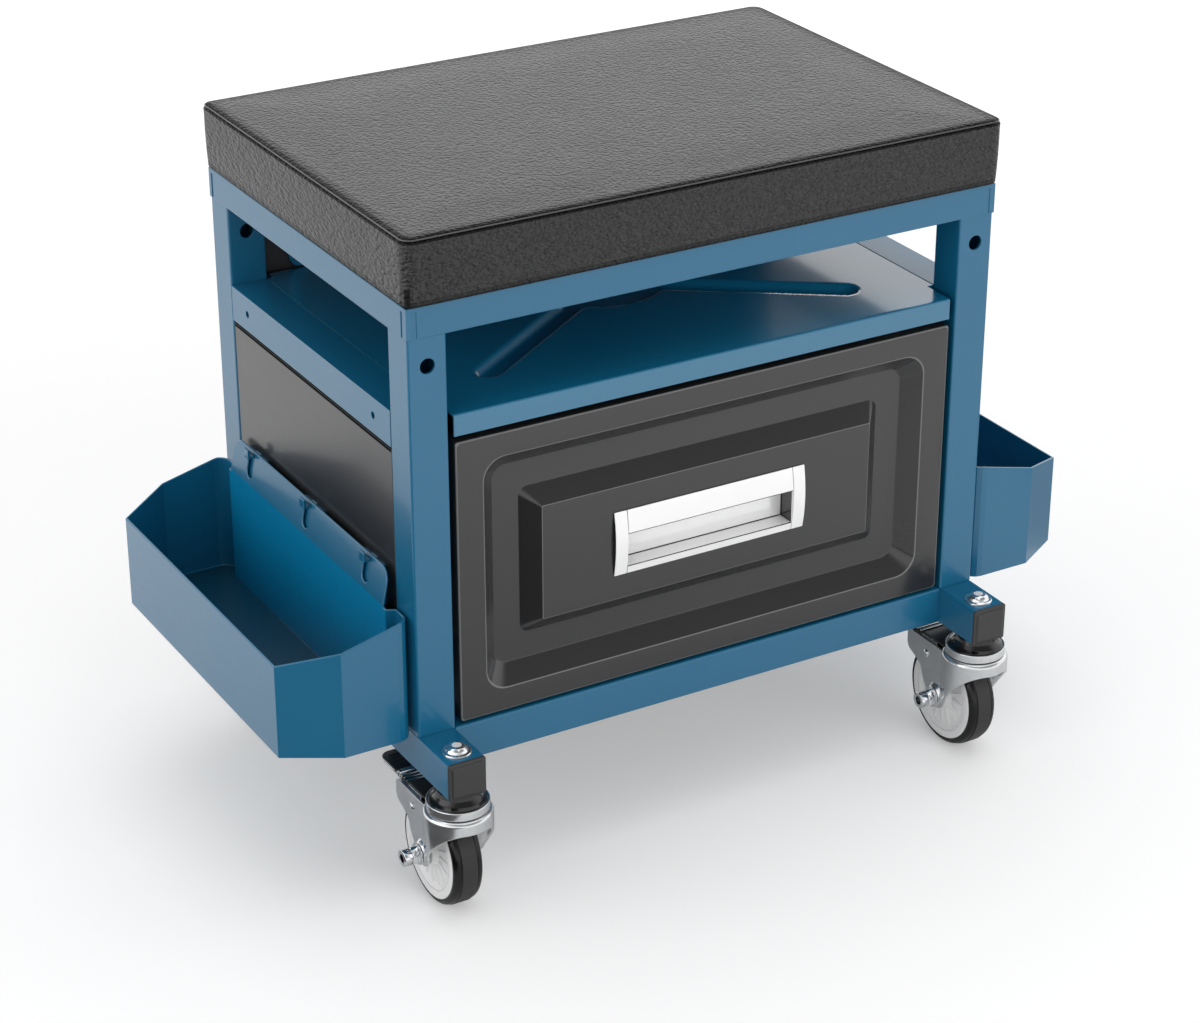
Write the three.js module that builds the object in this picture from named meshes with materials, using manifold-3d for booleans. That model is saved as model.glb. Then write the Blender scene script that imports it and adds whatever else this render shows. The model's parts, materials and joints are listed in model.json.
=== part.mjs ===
// Rolling workshop seat: a padded seat on a square-tube frame with an open storage shelf,
// one drawer, two lift-off side trays and four swivel casters, the front pair with brakes.
// Millimetres, +Z up. The drawer faces -Y, +X is to the right of someone facing the drawer,
// and the origin lies on the floor under the middle of the seat.

import * as THREE from 'three';
import { mergeVertices } from 'three/addons/utils/BufferGeometryUtils.js';
import Module from 'manifold-3d';

const wasm = await Module();
wasm.setup();

// Clearances and sheet gauges
const seatGap = 0.3; // between a piece and its seat
const overrun = 2; // how far a cutting tool runs past a face
const sheet = 1.2; // frame, tray and panel steel
const thinSheet = 1; // drawer steel
const mergeTolerance = 1e-4;

// Frame of square tube
const frameWidth = 360;
const frameDepth = 240;
const tubeSize = 22;
const tubeWall = 1.5;
const postLength = 243;
const skidOverhang = 35; // how far a skid, with its plug, stands past the posts
const postHoleDiameter = 8.5;
const postHoleDrop = 31.5;

// Seat pan, board and cushion
const panFlange = 17;
const panSlotWidth = 2.4;
const panCornerStrip = 4.2;
const panSlotRoof = 2.6;
const boardThickness = 9;
const boardInset = 5;
const cushionHeight = 37.8;
const cushionOverhang = 1.6;
const cushionCorner = 9;
const cushionCrown = 2.6;
const cushionWaist = 1.4; // how far the sides draw in between the seams
const cushionEdge = 4; // rolled edge outside the top seam
const seamDepth = 1;
const seamWidth = 2.2;

// Shelf and its side rails
const shelfDrop = 62; // from the top of the posts to the shelf
const shelfLip = 12;
const shelfFrontGap = 3.5;
const shelfLipSetback = 0.6;
const shelfSeam = 0.6;
const shelfBackGap = 2.5;
const railFlange = 20.5;
const railTopWidth = 21;
const railLedge = 10;
const railHoleDiameter = 4;
const railHoleSpread = 156;
const crossDepth = 4.5;
const crossArmWidth = 16;
const crossArmReach = 145;
const crossHubRadius = 36;
const crossArmAngle = Math.PI * 35 / 180;

// Side panels and the hooks that carry the trays
const panelReturn = 12;
const panelSetback = 0.5;
const panelTopGap = 1.5;
const hookWidth = 6;
const hookGauge = 1.5;
const hookLip = 4;
const hookSpacing = 73.5;

// Rear panel and the pressed frame on it
const rearPanelInset = 11;
const rearFrameWidth = 282;
const rearFrameHeight = 42;
const rearFrameBand = 5.5;
const rearFrameGauge = 2.4;
const rearFrameCorner = 7;

// End plugs of the skids
const plugFlange = 2.5;
const plugBevel = 1;
const plugDepth = 4.6;
const plugRib = 0.5;

// Drawer front: a pressed pan with a sunk field round a raised middle
const frontSideGap = 3.6;
const frontBottomGap = 2.4;
const frontTopGap = 3.5;
const frontReturn = 12;
const frontCorner = 1.5;
const fieldBorder = 15.8; // from the edge of the front to the sunk field, at the sides
const fieldBorderTall = 13.4; // the same, at the top and bottom
const fieldCorner = 13;
const fieldDepth = 9.5;
const fieldSlope = 9.5;
const fieldWidth = 15.6;
const plateauRise = 8.8;
const plateauSlope = 9.6;

// Flush handle in the raised middle
const handleLength = 121;
const handleHeight = 37.6;
const handleEdgeProud = 0.8;
const handleBow = 2; // how much further the face stands out at mid height
const handleWall = 1.4;
const handleHood = 13.5;
const handleLipHeight = 3.4;
const handleCapWidth = 7.7;
const handleSeat = 3.6; // how far the handle's flange covers the plateau round its opening

// Drawer box and its runners
const boxHeight = 128;
const boxFloorRise = 6; // above the bottom edge of the front
const boxDepth = 200;
const boxHem = 4;
const runnerHeight = 35;
const runnerGauge = 1.2;
const runnerThickness = 12.6;
const runnerLength = 214;
const runnerLip = 3;
const runnerPlay = 0.5;
const runnerRise = 62; // middle of the runner above the drawer front's bottom edge

// Side trays
const trayBottomRise = -1; // tray floor against the top of the skids
const trayReach = 70.5; // from the tray's back to its outer wall
const trayChamferOut = 30;
const trayChamferAlong = 17.5;
const trayCorner = 8;
const trayBackHeight = 70.5;
const trayFrontHeight = 54.5;
const trayStandOff = 1.5;
const trayBackStep = 4.6;
const trayStripWidth = 194;
const trayStripMargin = 20.5; // from the strip's end to the end of the tray
const trayStripHeight = 19.5;
const trayStripLean = 4;
const trayStripCorner = 8;
const slotWidth = 7.5;
const slotHeight = 14.5;
const slotDrop = 1.8;

// Casters
const wheelDiameter = 63;
const axleDrop = 46.5; // from the mounting face down to the axle
const stemOffset = 22; // from the posts' outer face to the swivel axis
const casterTrail = 18.5;
const stemDiameter = 10;
const stemHeadRoom = 2.2; // how far the stem stands out of the skid
const sealRadius = 15.8;
const sealNeckRadius = 11;
const cupRadius = 17.2;
const cupRimDrop = 6.2; // from the mounting face down to the cup's rim
const cupSkirt = 4.8;
const cupWall = 1.4;
const kingpinRadius = 4.5;
const rivetRadius = 6.5;
const rivetThickness = 1.8;
const runningGap = 0.5; // between pieces that turn against each other
const crownRadius = 19;
const crownGauge = 1.8;
const crownShoulder = 1.6;
const forkGauge = 1.5;
const forkWidth = 25;
const archHeight = 7.6; // crown top down to the skirt's edge at the front
const archFlatAngle = Math.PI * 15 / 180;
const archFootAngle = Math.PI * 112 / 180;
const legTopDrop = 3.6; // crown top down to the top edge of the legs
const legTipDrop = 11.8; // axle down to the tips of the legs
const legTipLead = 1; // in front of the axle
const legTipWidth = 6.2;
const legHeelBack = 13.8; // behind the axle, where the back edge turns up
const legHeelRise = 3.5; // the same, above the axle
const legNotchBack = 16;
const legNotchRise = 13.4;
const earBack = 30; // behind the axle, the end of the ear that carries the pedal
const earFootRise = 17.5;
const plainLegBack = 17; // behind the axle, the back edge of a leg with no ear
const tyreWidth = 17.3;
const tyreThickness = 4.4;
const tyreShoulderWidth = 3.8;
const tyreShoulderDrop = 2.4;
const treadGroove = 0.5;
const hubRimWidth = 4.6;
const hubRimProud = 0.3;
const hubRimBevel = 0.7;
const hubWeb = 4;
const hubBossRadius = 7.5;
const hubRibCount = 8;
const hubRibGauge = 1.4;
const hubRibSetback = 1.8; // how far the ribs lie inside the rim's face
const axleDiameter = 8;
const bossBaseRadius = 9.5; // the raised boss round the axle on each leg
const bossTopRadius = 6.4;
const bossRise = 2.8;
const nutAcrossFlats = 9.2;
const nutLength = 4.6;
const boltEndDiameter = 9.6;
const boltEndLength = 5;
const boltSocketDiameter = 5;
const boltSocketDepth = 2;
const boltHeadLength = 5;
const capNutRadius = 8;
const capNutFlange = 1.5;
const capNutRise = 4.6; // from the skid up to the top of the dome
const capNutShoulder = 3;

// Brake pedals of the front casters
const pivotBack = 11.3; // behind the axle
const pivotRise = 22.6; // above the axle
const pivotDiameter = 4;
const pedalGauge = 1.2;
const pedalCheek = 1;
const pedalCrownDrop = 0.7; // crown top down to the top of the pedal's plate
const pedalFlat = 34; // from the swivel axis to where the plate dips
const pedalDip = 1.6;
const pedalRibCount = 2;
const pedalRibWidth = 1.6;
const pedalRibHeight = 1.2;
const pedalRibPitch = 3.8;
const clipWidth = 2.4;
const clipHeight = 2.2;
const padLength = 21;
const padWidth = 24;
const padThickness = 3.6;
const padRise = 1;
const padCorner = 5;
const shoeForward = 10; // behind the pivot, the shoe that meets the tyre
const shoeLength = 4;
const shoeClearance = 1.9;

// Facets of round forms
const boreFacets = 12;
const turnedFacets = 18;
const tyreFacets = 32;
const cornerFacets = 4;
const handleFacets = 6;

// Levels and places worked out from the sizes above
const wheelRadius = wheelDiameter / 2;
const skidBottom = wheelRadius + axleDrop;
const skidTop = skidBottom + tubeSize;
const postTop = skidTop + postLength;
const panTop = postTop + sheet;
const shelfTop = postTop - shelfDrop;
const halfWidth = frameWidth / 2;
const halfDepth = frameDepth / 2;
const postInnerX = halfWidth - tubeSize;
const postInnerY = halfDepth - tubeSize;
const tubeCentreX = halfWidth - tubeSize / 2;
const tubeCentreY = halfDepth - tubeSize / 2;
const stemY = halfDepth + stemOffset;
const stemHoleRadius = stemDiameter / 2 + seatGap;
const frontBottom = skidTop + frontBottomGap;
const frontTop = shelfTop - shelfLip - frontTopGap;
const frontHalfWidth = postInnerX - frontSideGap;
const frontHalfHeight = (frontTop - frontBottom) / 2;
const frontCentreZ = (frontTop + frontBottom) / 2;
const frontFace = -halfDepth;
const frontBack = frontFace + frontReturn;
const panelFace = halfWidth - panelSetback;
const panelTop = shelfTop - railFlange - panelTopGap;
const trayBack = halfWidth + trayStandOff;
const trayLength = trayStripWidth + 2 * trayStripMargin;
const trayBottom = skidTop + trayBottomRise;
const trayPlate = trayBack + trayBackStep;
const stripFoot = trayBottom + trayBackHeight + sheet;

const paint = (color, roughness, metalness) => new THREE.MeshStandardMaterial({ color, roughness, metalness });
const finishes = {
  blue: () => paint(0x3f7599, 0.4, 0.2),
  darkBlue: () => paint(0x0b4a66, 0.4, 0.2),
  graphite: () => paint(0x4b4b4b, 0.45, 0.2),
  black: () => paint(0x2c2d2e, 0.5, 0.1),
  leatherette: () => paint(0x3b3b3c, 0.6, 0),
  plywood: () => paint(0xb08a5a, 0.8, 0),
  zinc: () => paint(0xc2c6c8, 0.3, 0.9),
  nylon: () => paint(0xeceeef, 0.5, 0),
  rubber: () => paint(0x1c1c1d, 0.8, 0),
  bright: () => paint(0xe9ebec, 0.25, 0.6),
};

const seat = new THREE.Group();
seat.name = 'rolling_workshop_seat';

// A closed solid from a three.js geometry: shared corners merged, slivers at a pole dropped, faces outward
function solid(geometry) {
  const bare = geometry.index ? geometry.toNonIndexed() : geometry.clone();
  for (const name of Object.keys(bare.attributes)) {
    if (name !== 'position') bare.deleteAttribute(name);
  }
  const merged = mergeVertices(bare, mergeTolerance);
  const corners = merged.attributes.position.array;
  const faces = [];
  let volume = 0;
  for (let i = 0; i < merged.index.count; i += 3) {
    const [a, b, c] = [0, 1, 2].map((k) => merged.index.getX(i + k));
    if (a === b || b === c || c === a) continue;
    const [p, q, r] = [a, b, c].map((k) => new THREE.Vector3().fromArray(corners, k * 3));
    volume += p.dot(q.cross(r));
    faces.push(a, b, c);
  }
  if (volume < 0) faces.reverse();
  const mesh = new wasm.Mesh({
    numProp: 3,
    vertProperties: new Float32Array(corners),
    triVerts: new Uint32Array(faces),
  });
  return new wasm.Manifold(mesh);
}

const union = (...pieces) => pieces.reduce((whole, piece) => whole.add(piece));
const cut = (body, ...tools) => tools.reduce((rest, tool) => rest.subtract(tool), body);

// Adds a solid to the seat as a named mesh
function add(name, body, finish) {
  const data = body.getMesh();
  const geometry = new THREE.BufferGeometry();
  geometry.setAttribute('position', new THREE.BufferAttribute(new Float32Array(data.vertProperties), 3));
  geometry.setIndex(new THREE.BufferAttribute(new Uint32Array(data.triVerts), 1));
  geometry.computeVertexNormals();
  const mesh = new THREE.Mesh(geometry, finishes[finish]());
  mesh.name = name;
  seat.add(mesh);
  return mesh;
}

// A block between two corners
function block(x0, x1, y0, y1, z0, z1) {
  const geometry = new THREE.BoxGeometry(Math.abs(x1 - x0), Math.abs(y1 - y0), Math.abs(z1 - z0));
  return solid(geometry.translate((x0 + x1) / 2, (y0 + y1) / 2, (z0 + z1) / 2));
}

// A flat outline from points, with optional holes
function outline(points, holes = []) {
  const shape = new THREE.Shape(points.map(([u, v]) => new THREE.Vector2(u, v)));
  for (const hole of holes) shape.holes.push(new THREE.Path(hole.map(([u, v]) => new THREE.Vector2(u, v))));
  return shape;
}

const extruded = (shape, length) => new THREE.ExtrudeGeometry(shape, { depth: length, bevelEnabled: false });

// Outlines pushed along each axis: (x, y) up Z, (x, z) along Y, and (y, z) along X
const alongZ = (shape, z0, z1) => solid(extruded(shape, z1 - z0).translate(0, 0, z0));
const alongY = (shape, y0, y1) => solid(extruded(shape, y1 - y0).rotateX(Math.PI / 2).translate(0, y1, 0));
const alongX = (shape, x0, x1) => {
  const turn = new THREE.Matrix4().makeBasis(
    new THREE.Vector3(0, 1, 0), new THREE.Vector3(0, 0, 1), new THREE.Vector3(1, 0, 0));
  return solid(extruded(shape, x1 - x0).applyMatrix4(turn).translate(x0, 0, 0));
};

const acrossX = (shape, xa, xb) => alongX(shape, Math.min(xa, xb), Math.max(xa, xb));

// Points of a rounded rectangle, anticlockwise from its lower right corner
function roundedRectangle(halfU, halfV, radius, steps = cornerFacets, centre = [0, 0]) {
  const points = [];
  const corners = [[1, -1, -0.5], [1, 1, 0], [-1, 1, 0.5], [-1, -1, 1]];
  for (const [signU, signV, startShare] of corners) {
    for (let i = 0; i <= steps; i++) {
      const angle = Math.PI * (startShare + i / steps / 2);
      points.push([
        centre[0] + signU * (halfU - radius) + radius * Math.cos(angle),
        centre[1] + signV * (halfV - radius) + radius * Math.sin(angle),
      ]);
    }
  }
  return points;
}

function circlePoints(radius, centre = [0, 0], steps = boreFacets) {
  const points = [];
  for (let i = 0; i < steps; i++) {
    const angle = 2 * Math.PI * i / steps;
    points.push([centre[0] + radius * Math.cos(angle), centre[1] + radius * Math.sin(angle)]);
  }
  return points;
}

// A round tool along an axis through a point
function rod(axis, radius, from, to, centre, steps = boreFacets) {
  const shape = outline(circlePoints(radius, centre, steps));
  return { x: alongX, y: alongY, z: alongZ }[axis](shape, from, to);
}

// A closed skin over a row of point rings; a looping row also joins its last ring to its first
function skin(rings, looping = false) {
  const count = rings[0].length;
  const points = rings.flat();
  const faces = [];
  const last = looping ? rings.length : rings.length - 1;
  for (let i = 0; i < last; i++) {
    const here = i * count;
    const next = ((i + 1) % rings.length) * count;
    for (let j = 0; j < count; j++) {
      const k = (j + 1) % count;
      faces.push(here + j, here + k, next + k, here + j, next + k, next + j);
    }
  }
  if (!looping) {
    for (const [ring, start, atEnd] of [[rings[0], 0, false], [rings[last], last * count, true]]) {
      const centre = points.length;
      points.push([0, 1, 2].map((axis) => ring.reduce((sum, point) => sum + point[axis], 0) / count));
      for (let j = 0; j < count; j++) {
        const k = (j + 1) % count;
        faces.push(centre, start + (atEnd ? j : k), start + (atEnd ? k : j));
      }
    }
  }
  const geometry = new THREE.BufferGeometry();
  geometry.setAttribute('position', new THREE.BufferAttribute(new Float32Array(points.flat()), 3));
  geometry.setIndex(faces);
  return solid(geometry);
}

// A turned piece from a (radius, height) profile, about Z
const turned = (profile, steps = turnedFacets) => {
  const points = profile.map(([radius, height]) => new THREE.Vector2(radius, height));
  return solid(new THREE.LatheGeometry(points, steps).rotateX(Math.PI / 2));
};

// The same, with the turning axis laid along X
const turnedAlongX = (profile, steps = turnedFacets) => {
  const points = profile.map(([radius, across]) => new THREE.Vector2(radius, across));
  return solid(new THREE.LatheGeometry(points, steps).rotateZ(-Math.PI / 2));
};

// An outline moved inward by a wall thickness, for anticlockwise points
function inset(points, wall) {
  const count = points.length;
  return points.map((point, i) => {
    const before = points[(i + count - 1) % count];
    const after = points[(i + 1) % count];
    const inward = [[before, point], [point, after]].map(([from, to]) => {
      const length = Math.hypot(to[0] - from[0], to[1] - from[1]);
      return [-(to[1] - from[1]) / length, (to[0] - from[0]) / length];
    });
    const sum = [inward[0][0] + inward[1][0], inward[0][1] + inward[1][1]];
    const reach = 2 * wall / (sum[0] ** 2 + sum[1] ** 2);
    return [point[0] + sum[0] * reach, point[1] + sum[1] * reach];
  });
}

const squareTube = (centre) => outline(
  roundedRectangle(tubeSize / 2, tubeSize / 2, tubeWall, 2, centre),
  [roundedRectangle(tubeSize / 2 - tubeWall, tubeSize / 2 - tubeWall, tubeWall / 2, 1, centre)]);

const sides = [['left', -1], ['right', 1]];
const ends = [['front', -1], ['rear', 1]];

// Frame: posts, skids and bottom rails
for (const [endName, endSign] of ends) {
  for (const [sideName, sideSign] of sides) {
    const tube = alongZ(squareTube([sideSign * tubeCentreX, endSign * tubeCentreY]), skidTop, postTop);
    const holeCentre = [sideSign * tubeCentreX, postTop - postHoleDrop];
    const reachY = [endSign * postInnerY, endSign * halfDepth].sort((a, b) => a - b);
    const hole = rod('y', postHoleDiameter / 2, reachY[0] - overrun, reachY[1] + overrun, holeCentre);
    add(`${endName}_${sideName}_post`, cut(tube, hole), 'blue');
  }
}

const skidEnd = halfDepth + skidOverhang;
for (const [sideName, sideSign] of sides) {
  const centre = [sideSign * tubeCentreX, skidBottom + tubeSize / 2];
  const tube = alongY(squareTube(centre), -skidEnd + plugFlange, skidEnd - plugFlange);
  const holes = ends.map(([, endSign]) => rod(
    'z', stemHoleRadius, skidBottom - overrun, skidTop + overrun, [sideSign * tubeCentreX, endSign * stemY]));
  add(`${sideName}_skid`, cut(tube, ...holes), 'blue');
}

for (const [endName, endSign] of ends) {
  const tube = alongX(squareTube([endSign * tubeCentreY, skidBottom + tubeSize / 2]), -postInnerX, postInnerX);
  add(`${endName}_bottom_rail`, tube, 'blue');
}

// End plugs: a bevelled face over the tube's end and a ribbed spigot inside it
for (const [endName, endSign] of ends) {
  for (const [sideName, sideSign] of sides) {
    const bore = tubeSize / 2 - tubeWall - seatGap;
    const ring = (half, y) => roundedRectangle(half, half, tubeWall, 1)
      .map(([x, z]) => [sideSign * tubeCentreX + x, endSign * y, skidBottom + tubeSize / 2 + z]);
    const ribPitch = plugDepth / 3;
    const spigot = [];
    for (let i = 3; i >= 0; i--) {
      const y = skidEnd - plugFlange - i * ribPitch;
      spigot.push(ring(bore - plugRib, y), ring(bore - (i ? 0 : plugRib), y + ribPitch / 3));
    }
    spigot.length -= 1;
    const rings = [
      ...spigot,
      ring(tubeSize / 2, skidEnd - plugFlange),
      ring(tubeSize / 2, skidEnd - plugBevel),
      ring(tubeSize / 2 - plugBevel, skidEnd),
    ];
    add(`${endName}_${sideName}_end_plug`, skin(rings), 'black');
  }
}

// Seat pan: a folded sheet lid over the posts, with relief slots beside each corner
function seatPan() {
  const outerX = halfWidth + sheet;
  const outerY = halfDepth + sheet;
  const bottom = panTop - panFlange;
  const shell = cut(
    block(-outerX, outerX, -outerY, outerY, bottom, panTop),
    block(-halfWidth, halfWidth, -halfDepth, halfDepth, bottom - overrun, postTop));
  const slots = [];
  const slotTop = panTop - panSlotRoof;
  for (const [, signX] of sides) {
    for (const [, signY] of ends) {
      const nearX = outerX - panCornerStrip;
      const nearY = outerY - panCornerStrip;
      slots.push(block(signX * nearX, signX * (nearX - panSlotWidth), signY * halfDepth,
        signY * (outerY + overrun), bottom - overrun, slotTop));
      slots.push(block(signX * halfWidth, signX * (outerX + overrun), signY * nearY,
        signY * (nearY - panSlotWidth), bottom - overrun, slotTop));
    }
  }
  return cut(shell, ...slots);
}
add('seat_pan', seatPan(), 'blue');

const boardHalfX = halfWidth - boardInset;
const boardHalfY = halfDepth - boardInset;
add('seat_board', alongZ(outline(roundedRectangle(boardHalfX, boardHalfY, cushionCorner)),
  panTop, panTop + boardThickness), 'plywood');

// Cushion: crowned top, sides drawn in between a bottom edge and a sewn top seam
function cushion() {
  const halfX = halfWidth + cushionOverhang;
  const halfY = halfDepth + cushionOverhang;
  const bottom = panTop + seatGap;
  const top = panTop + cushionHeight - cushionCrown;
  const seamHeight = top - cushionEdge;
  const ring = (draw, z, bow = 0) => roundedRectangle(halfX - draw, halfY - draw, cushionCorner, 5)
    .flatMap((point, i, all) => {
      const next = all[(i + 1) % all.length];
      const span = Math.hypot(next[0] - point[0], next[1] - point[1]);
      const steps = span > cushionCorner * 2 ? 6 : 1;
      return Array.from({ length: steps }, (_, k) => {
        const share = k / steps;
        const pull = bow * Math.sin(Math.PI * share);
        const x = point[0] + (next[0] - point[0]) * share;
        const y = point[1] + (next[1] - point[1]) * share;
        const alongSideX = Math.abs(next[0] - point[0]) > Math.abs(next[1] - point[1]);
        return alongSideX ? [x, y - Math.sign(y) * pull, z] : [x - Math.sign(x) * pull, y, z];
      });
    });
  const middle = (bottom + seamHeight) / 2;
  const rings = [
    ring(cushionEdge, bottom),
    ring(cushionEdge / 4, bottom + cushionEdge / 2),
    ring(cushionWaist / 2, middle, cushionWaist),
    ring(0, seamHeight - seamWidth),
    ring(seamDepth, seamHeight - seamWidth / 2),
    ring(0, seamHeight),
    ring(cushionEdge / 3, top - cushionEdge / 4),
    ring(cushionEdge, top),
  ];
  const crownShares = [[0.12, 0.35], [0.3, 0.68], [0.55, 0.9], [0.8, 1]];
  for (const [drawShare, riseShare] of crownShares) {
    rings.push(ring(cushionEdge + (halfY - cushionEdge - cushionCorner) * drawShare,
      top + cushionCrown * riseShare));
  }
  const recess = alongZ(outline(roundedRectangle(boardHalfX + seatGap, boardHalfY + seatGap, cushionCorner)),
    bottom - overrun, panTop + boardThickness + seatGap);
  return cut(skin(rings), recess);
}
add('seat_cushion', cushion(), 'leatherette');

// Shelf rails: a channel with a joggled ledge under the edge of the shelf
const ledgeTop = shelfTop - sheet - seatGap;
const railInnerX = halfWidth - railTopWidth;
for (const [sideName, sideSign] of sides) {
  const profile = [
    [halfWidth, shelfTop - railFlange],
    [halfWidth, shelfTop],
    [railInnerX, shelfTop],
    [railInnerX, ledgeTop],
    [railInnerX - railLedge, ledgeTop],
    [railInnerX - railLedge, ledgeTop - sheet],
    [railInnerX + sheet, ledgeTop - sheet],
    [railInnerX + sheet, shelfTop - sheet],
    [halfWidth - sheet, shelfTop - sheet],
    [halfWidth - sheet, shelfTop - railFlange],
  ].map(([x, z]) => [sideSign * x, z]);
  const rail = alongY(outline(profile), -postInnerY, postInnerY);
  const holeZ = shelfTop - railFlange / 2;
  const holes = ends.map(([, endSign]) => rod('x', railHoleDiameter / 2,
    Math.min(sideSign * (halfWidth - 2 * sheet), sideSign * (halfWidth + overrun)),
    Math.max(sideSign * (halfWidth - 2 * sheet), sideSign * (halfWidth + overrun)),
    [endSign * railHoleSpread / 2, holeZ], 12));
  add(`${sideName}_shelf_rail`, cut(rail, ...holes), 'blue');
}

// Shelf: a sheet with a front lip and a pressed cross that stiffens it
const rearPanelFace = halfDepth - rearPanelInset - sheet;
function crossOutline(grow) {
  const halfArm = crossArmWidth / 2 + grow;
  const hub = crossHubRadius + grow;
  const points = [];
  const arms = [crossArmAngle, Math.PI - crossArmAngle, Math.PI + crossArmAngle, 2 * Math.PI - crossArmAngle];
  const openAngle = Math.asin(halfArm / hub);
  arms.forEach((angle, i) => {
    const along = [Math.cos(angle), Math.sin(angle)];
    const across = [-along[1], along[0]];
    for (let k = 0; k <= 6; k++) {
      const tip = Math.PI * (k / 6 - 0.5);
      const reach = crossArmReach - crossArmWidth / 2 + halfArm * Math.cos(tip);
      const offset = halfArm * Math.sin(tip);
      points.push([along[0] * reach + across[0] * offset, along[1] * reach + across[1] * offset]);
    }
    const nextAngle = i < arms.length - 1 ? arms[i + 1] : arms[0] + 2 * Math.PI;
    const from = angle + openAngle;
    const to = nextAngle - openAngle;
    for (let k = 0; k <= 4; k++) {
      const turn = from + (to - from) * k / 4;
      points.push([hub * Math.cos(turn), hub * Math.sin(turn)]);
    }
  });
  return points;
}

function shelf() {
  const backY = rearPanelFace - shelfBackGap;
  const frontY = -halfDepth + shelfLipSetback;
  const bodyHalf = railInnerX - shelfSeam;
  const neckHalf = postInnerX - shelfFrontGap;
  const neckY = postInnerY - seatGap;
  const plan = [
    [-neckHalf, frontY], [neckHalf, frontY], [neckHalf, -neckY], [bodyHalf, -neckY],
    [bodyHalf, neckY], [neckHalf, neckY], [neckHalf, backY], [-neckHalf, backY],
    [-neckHalf, neckY], [-bodyHalf, neckY], [-bodyHalf, -neckY], [-neckHalf, -neckY],
  ];
  const top = alongZ(outline(plan), shelfTop - sheet, shelfTop);
  const lip = block(-neckHalf, neckHalf, frontY, frontY + sheet, shelfTop - shelfLip, shelfTop);
  const rearLip = block(-neckHalf, neckHalf, backY - sheet, backY, shelfTop - shelfLip, shelfTop);
  const dish = (grow, z0, z1, draft) => skin([z0, z1].map((z, i) => crossOutline(grow - (i ? 0 : draft))
    .map(([x, y]) => [x, y, z])));
  const bulge = dish(sheet, shelfTop - sheet - crossDepth, shelfTop - sheet / 2, crossDepth / 2);
  const press = dish(0, shelfTop - crossDepth, shelfTop + overrun, crossDepth / 2);
  return cut(union(top, lip, rearLip, bulge), press);
}
add('shelf', shelf(), 'blue');

// Side panels with three upturned hooks each
const hookTop = stripFoot + trayStripHeight - slotDrop - seatGap;
for (const [sideName, sideSign] of sides) {
  const edgeY = postInnerY - seatGap;
  const profile = [
    [panelFace, -edgeY], [panelFace, edgeY], [panelFace - panelReturn, edgeY],
    [panelFace - panelReturn, edgeY - sheet], [panelFace - sheet, edgeY - sheet],
    [panelFace - sheet, -edgeY + sheet], [panelFace - panelReturn, -edgeY + sheet],
    [panelFace - panelReturn, -edgeY],
  ].map(([x, y]) => [sideSign * x, y]);
  const hookReach = trayPlate + hookGauge;
  const hookProfile = [
    [panelFace - sheet / 2, hookTop - hookGauge], [hookReach, hookTop - hookGauge],
    [hookReach, hookTop + hookLip], [hookReach - hookGauge, hookTop + hookLip],
    [hookReach - hookGauge, hookTop], [panelFace - sheet / 2, hookTop],
  ].map(([x, z]) => [sideSign * x, z]);
  const hooks = [-1, 0, 1].map((place) => alongY(outline(hookProfile),
    place * hookSpacing - hookWidth / 2, place * hookSpacing + hookWidth / 2));
  const panel = alongZ(outline(profile), skidTop + seatGap, panelTop);
  add(`${sideName}_side_panel`, union(panel, ...hooks), 'black');
}

// Rear panel with side returns, and the pressed frame on its inner face
const rearPanelHalf = postInnerX - seatGap;
const rearProfile = [
  [-rearPanelHalf, rearPanelFace], [rearPanelHalf, rearPanelFace],
  [rearPanelHalf, rearPanelFace + panelReturn], [rearPanelHalf - sheet, rearPanelFace + panelReturn],
  [rearPanelHalf - sheet, rearPanelFace + sheet], [-rearPanelHalf + sheet, rearPanelFace + sheet],
  [-rearPanelHalf + sheet, rearPanelFace + panelReturn], [-rearPanelHalf, rearPanelFace + panelReturn],
];
add('rear_panel', alongZ(outline(rearProfile), skidTop + seatGap, postTop - seatGap), 'black');

const rearFrameZ = shelfTop + rearFrameHeight / 2 + seatGap;
add('rear_panel_frame', alongY(outline(
  roundedRectangle(rearFrameWidth / 2, rearFrameHeight / 2, rearFrameCorner, 4, [0, rearFrameZ]),
  [roundedRectangle(rearFrameWidth / 2 - rearFrameBand, rearFrameHeight / 2 - rearFrameBand,
    rearFrameCorner - rearFrameBand / 2, 4, [0, rearFrameZ])]),
rearPanelFace - seatGap - rearFrameGauge, rearPanelFace - seatGap), 'darkBlue');

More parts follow.
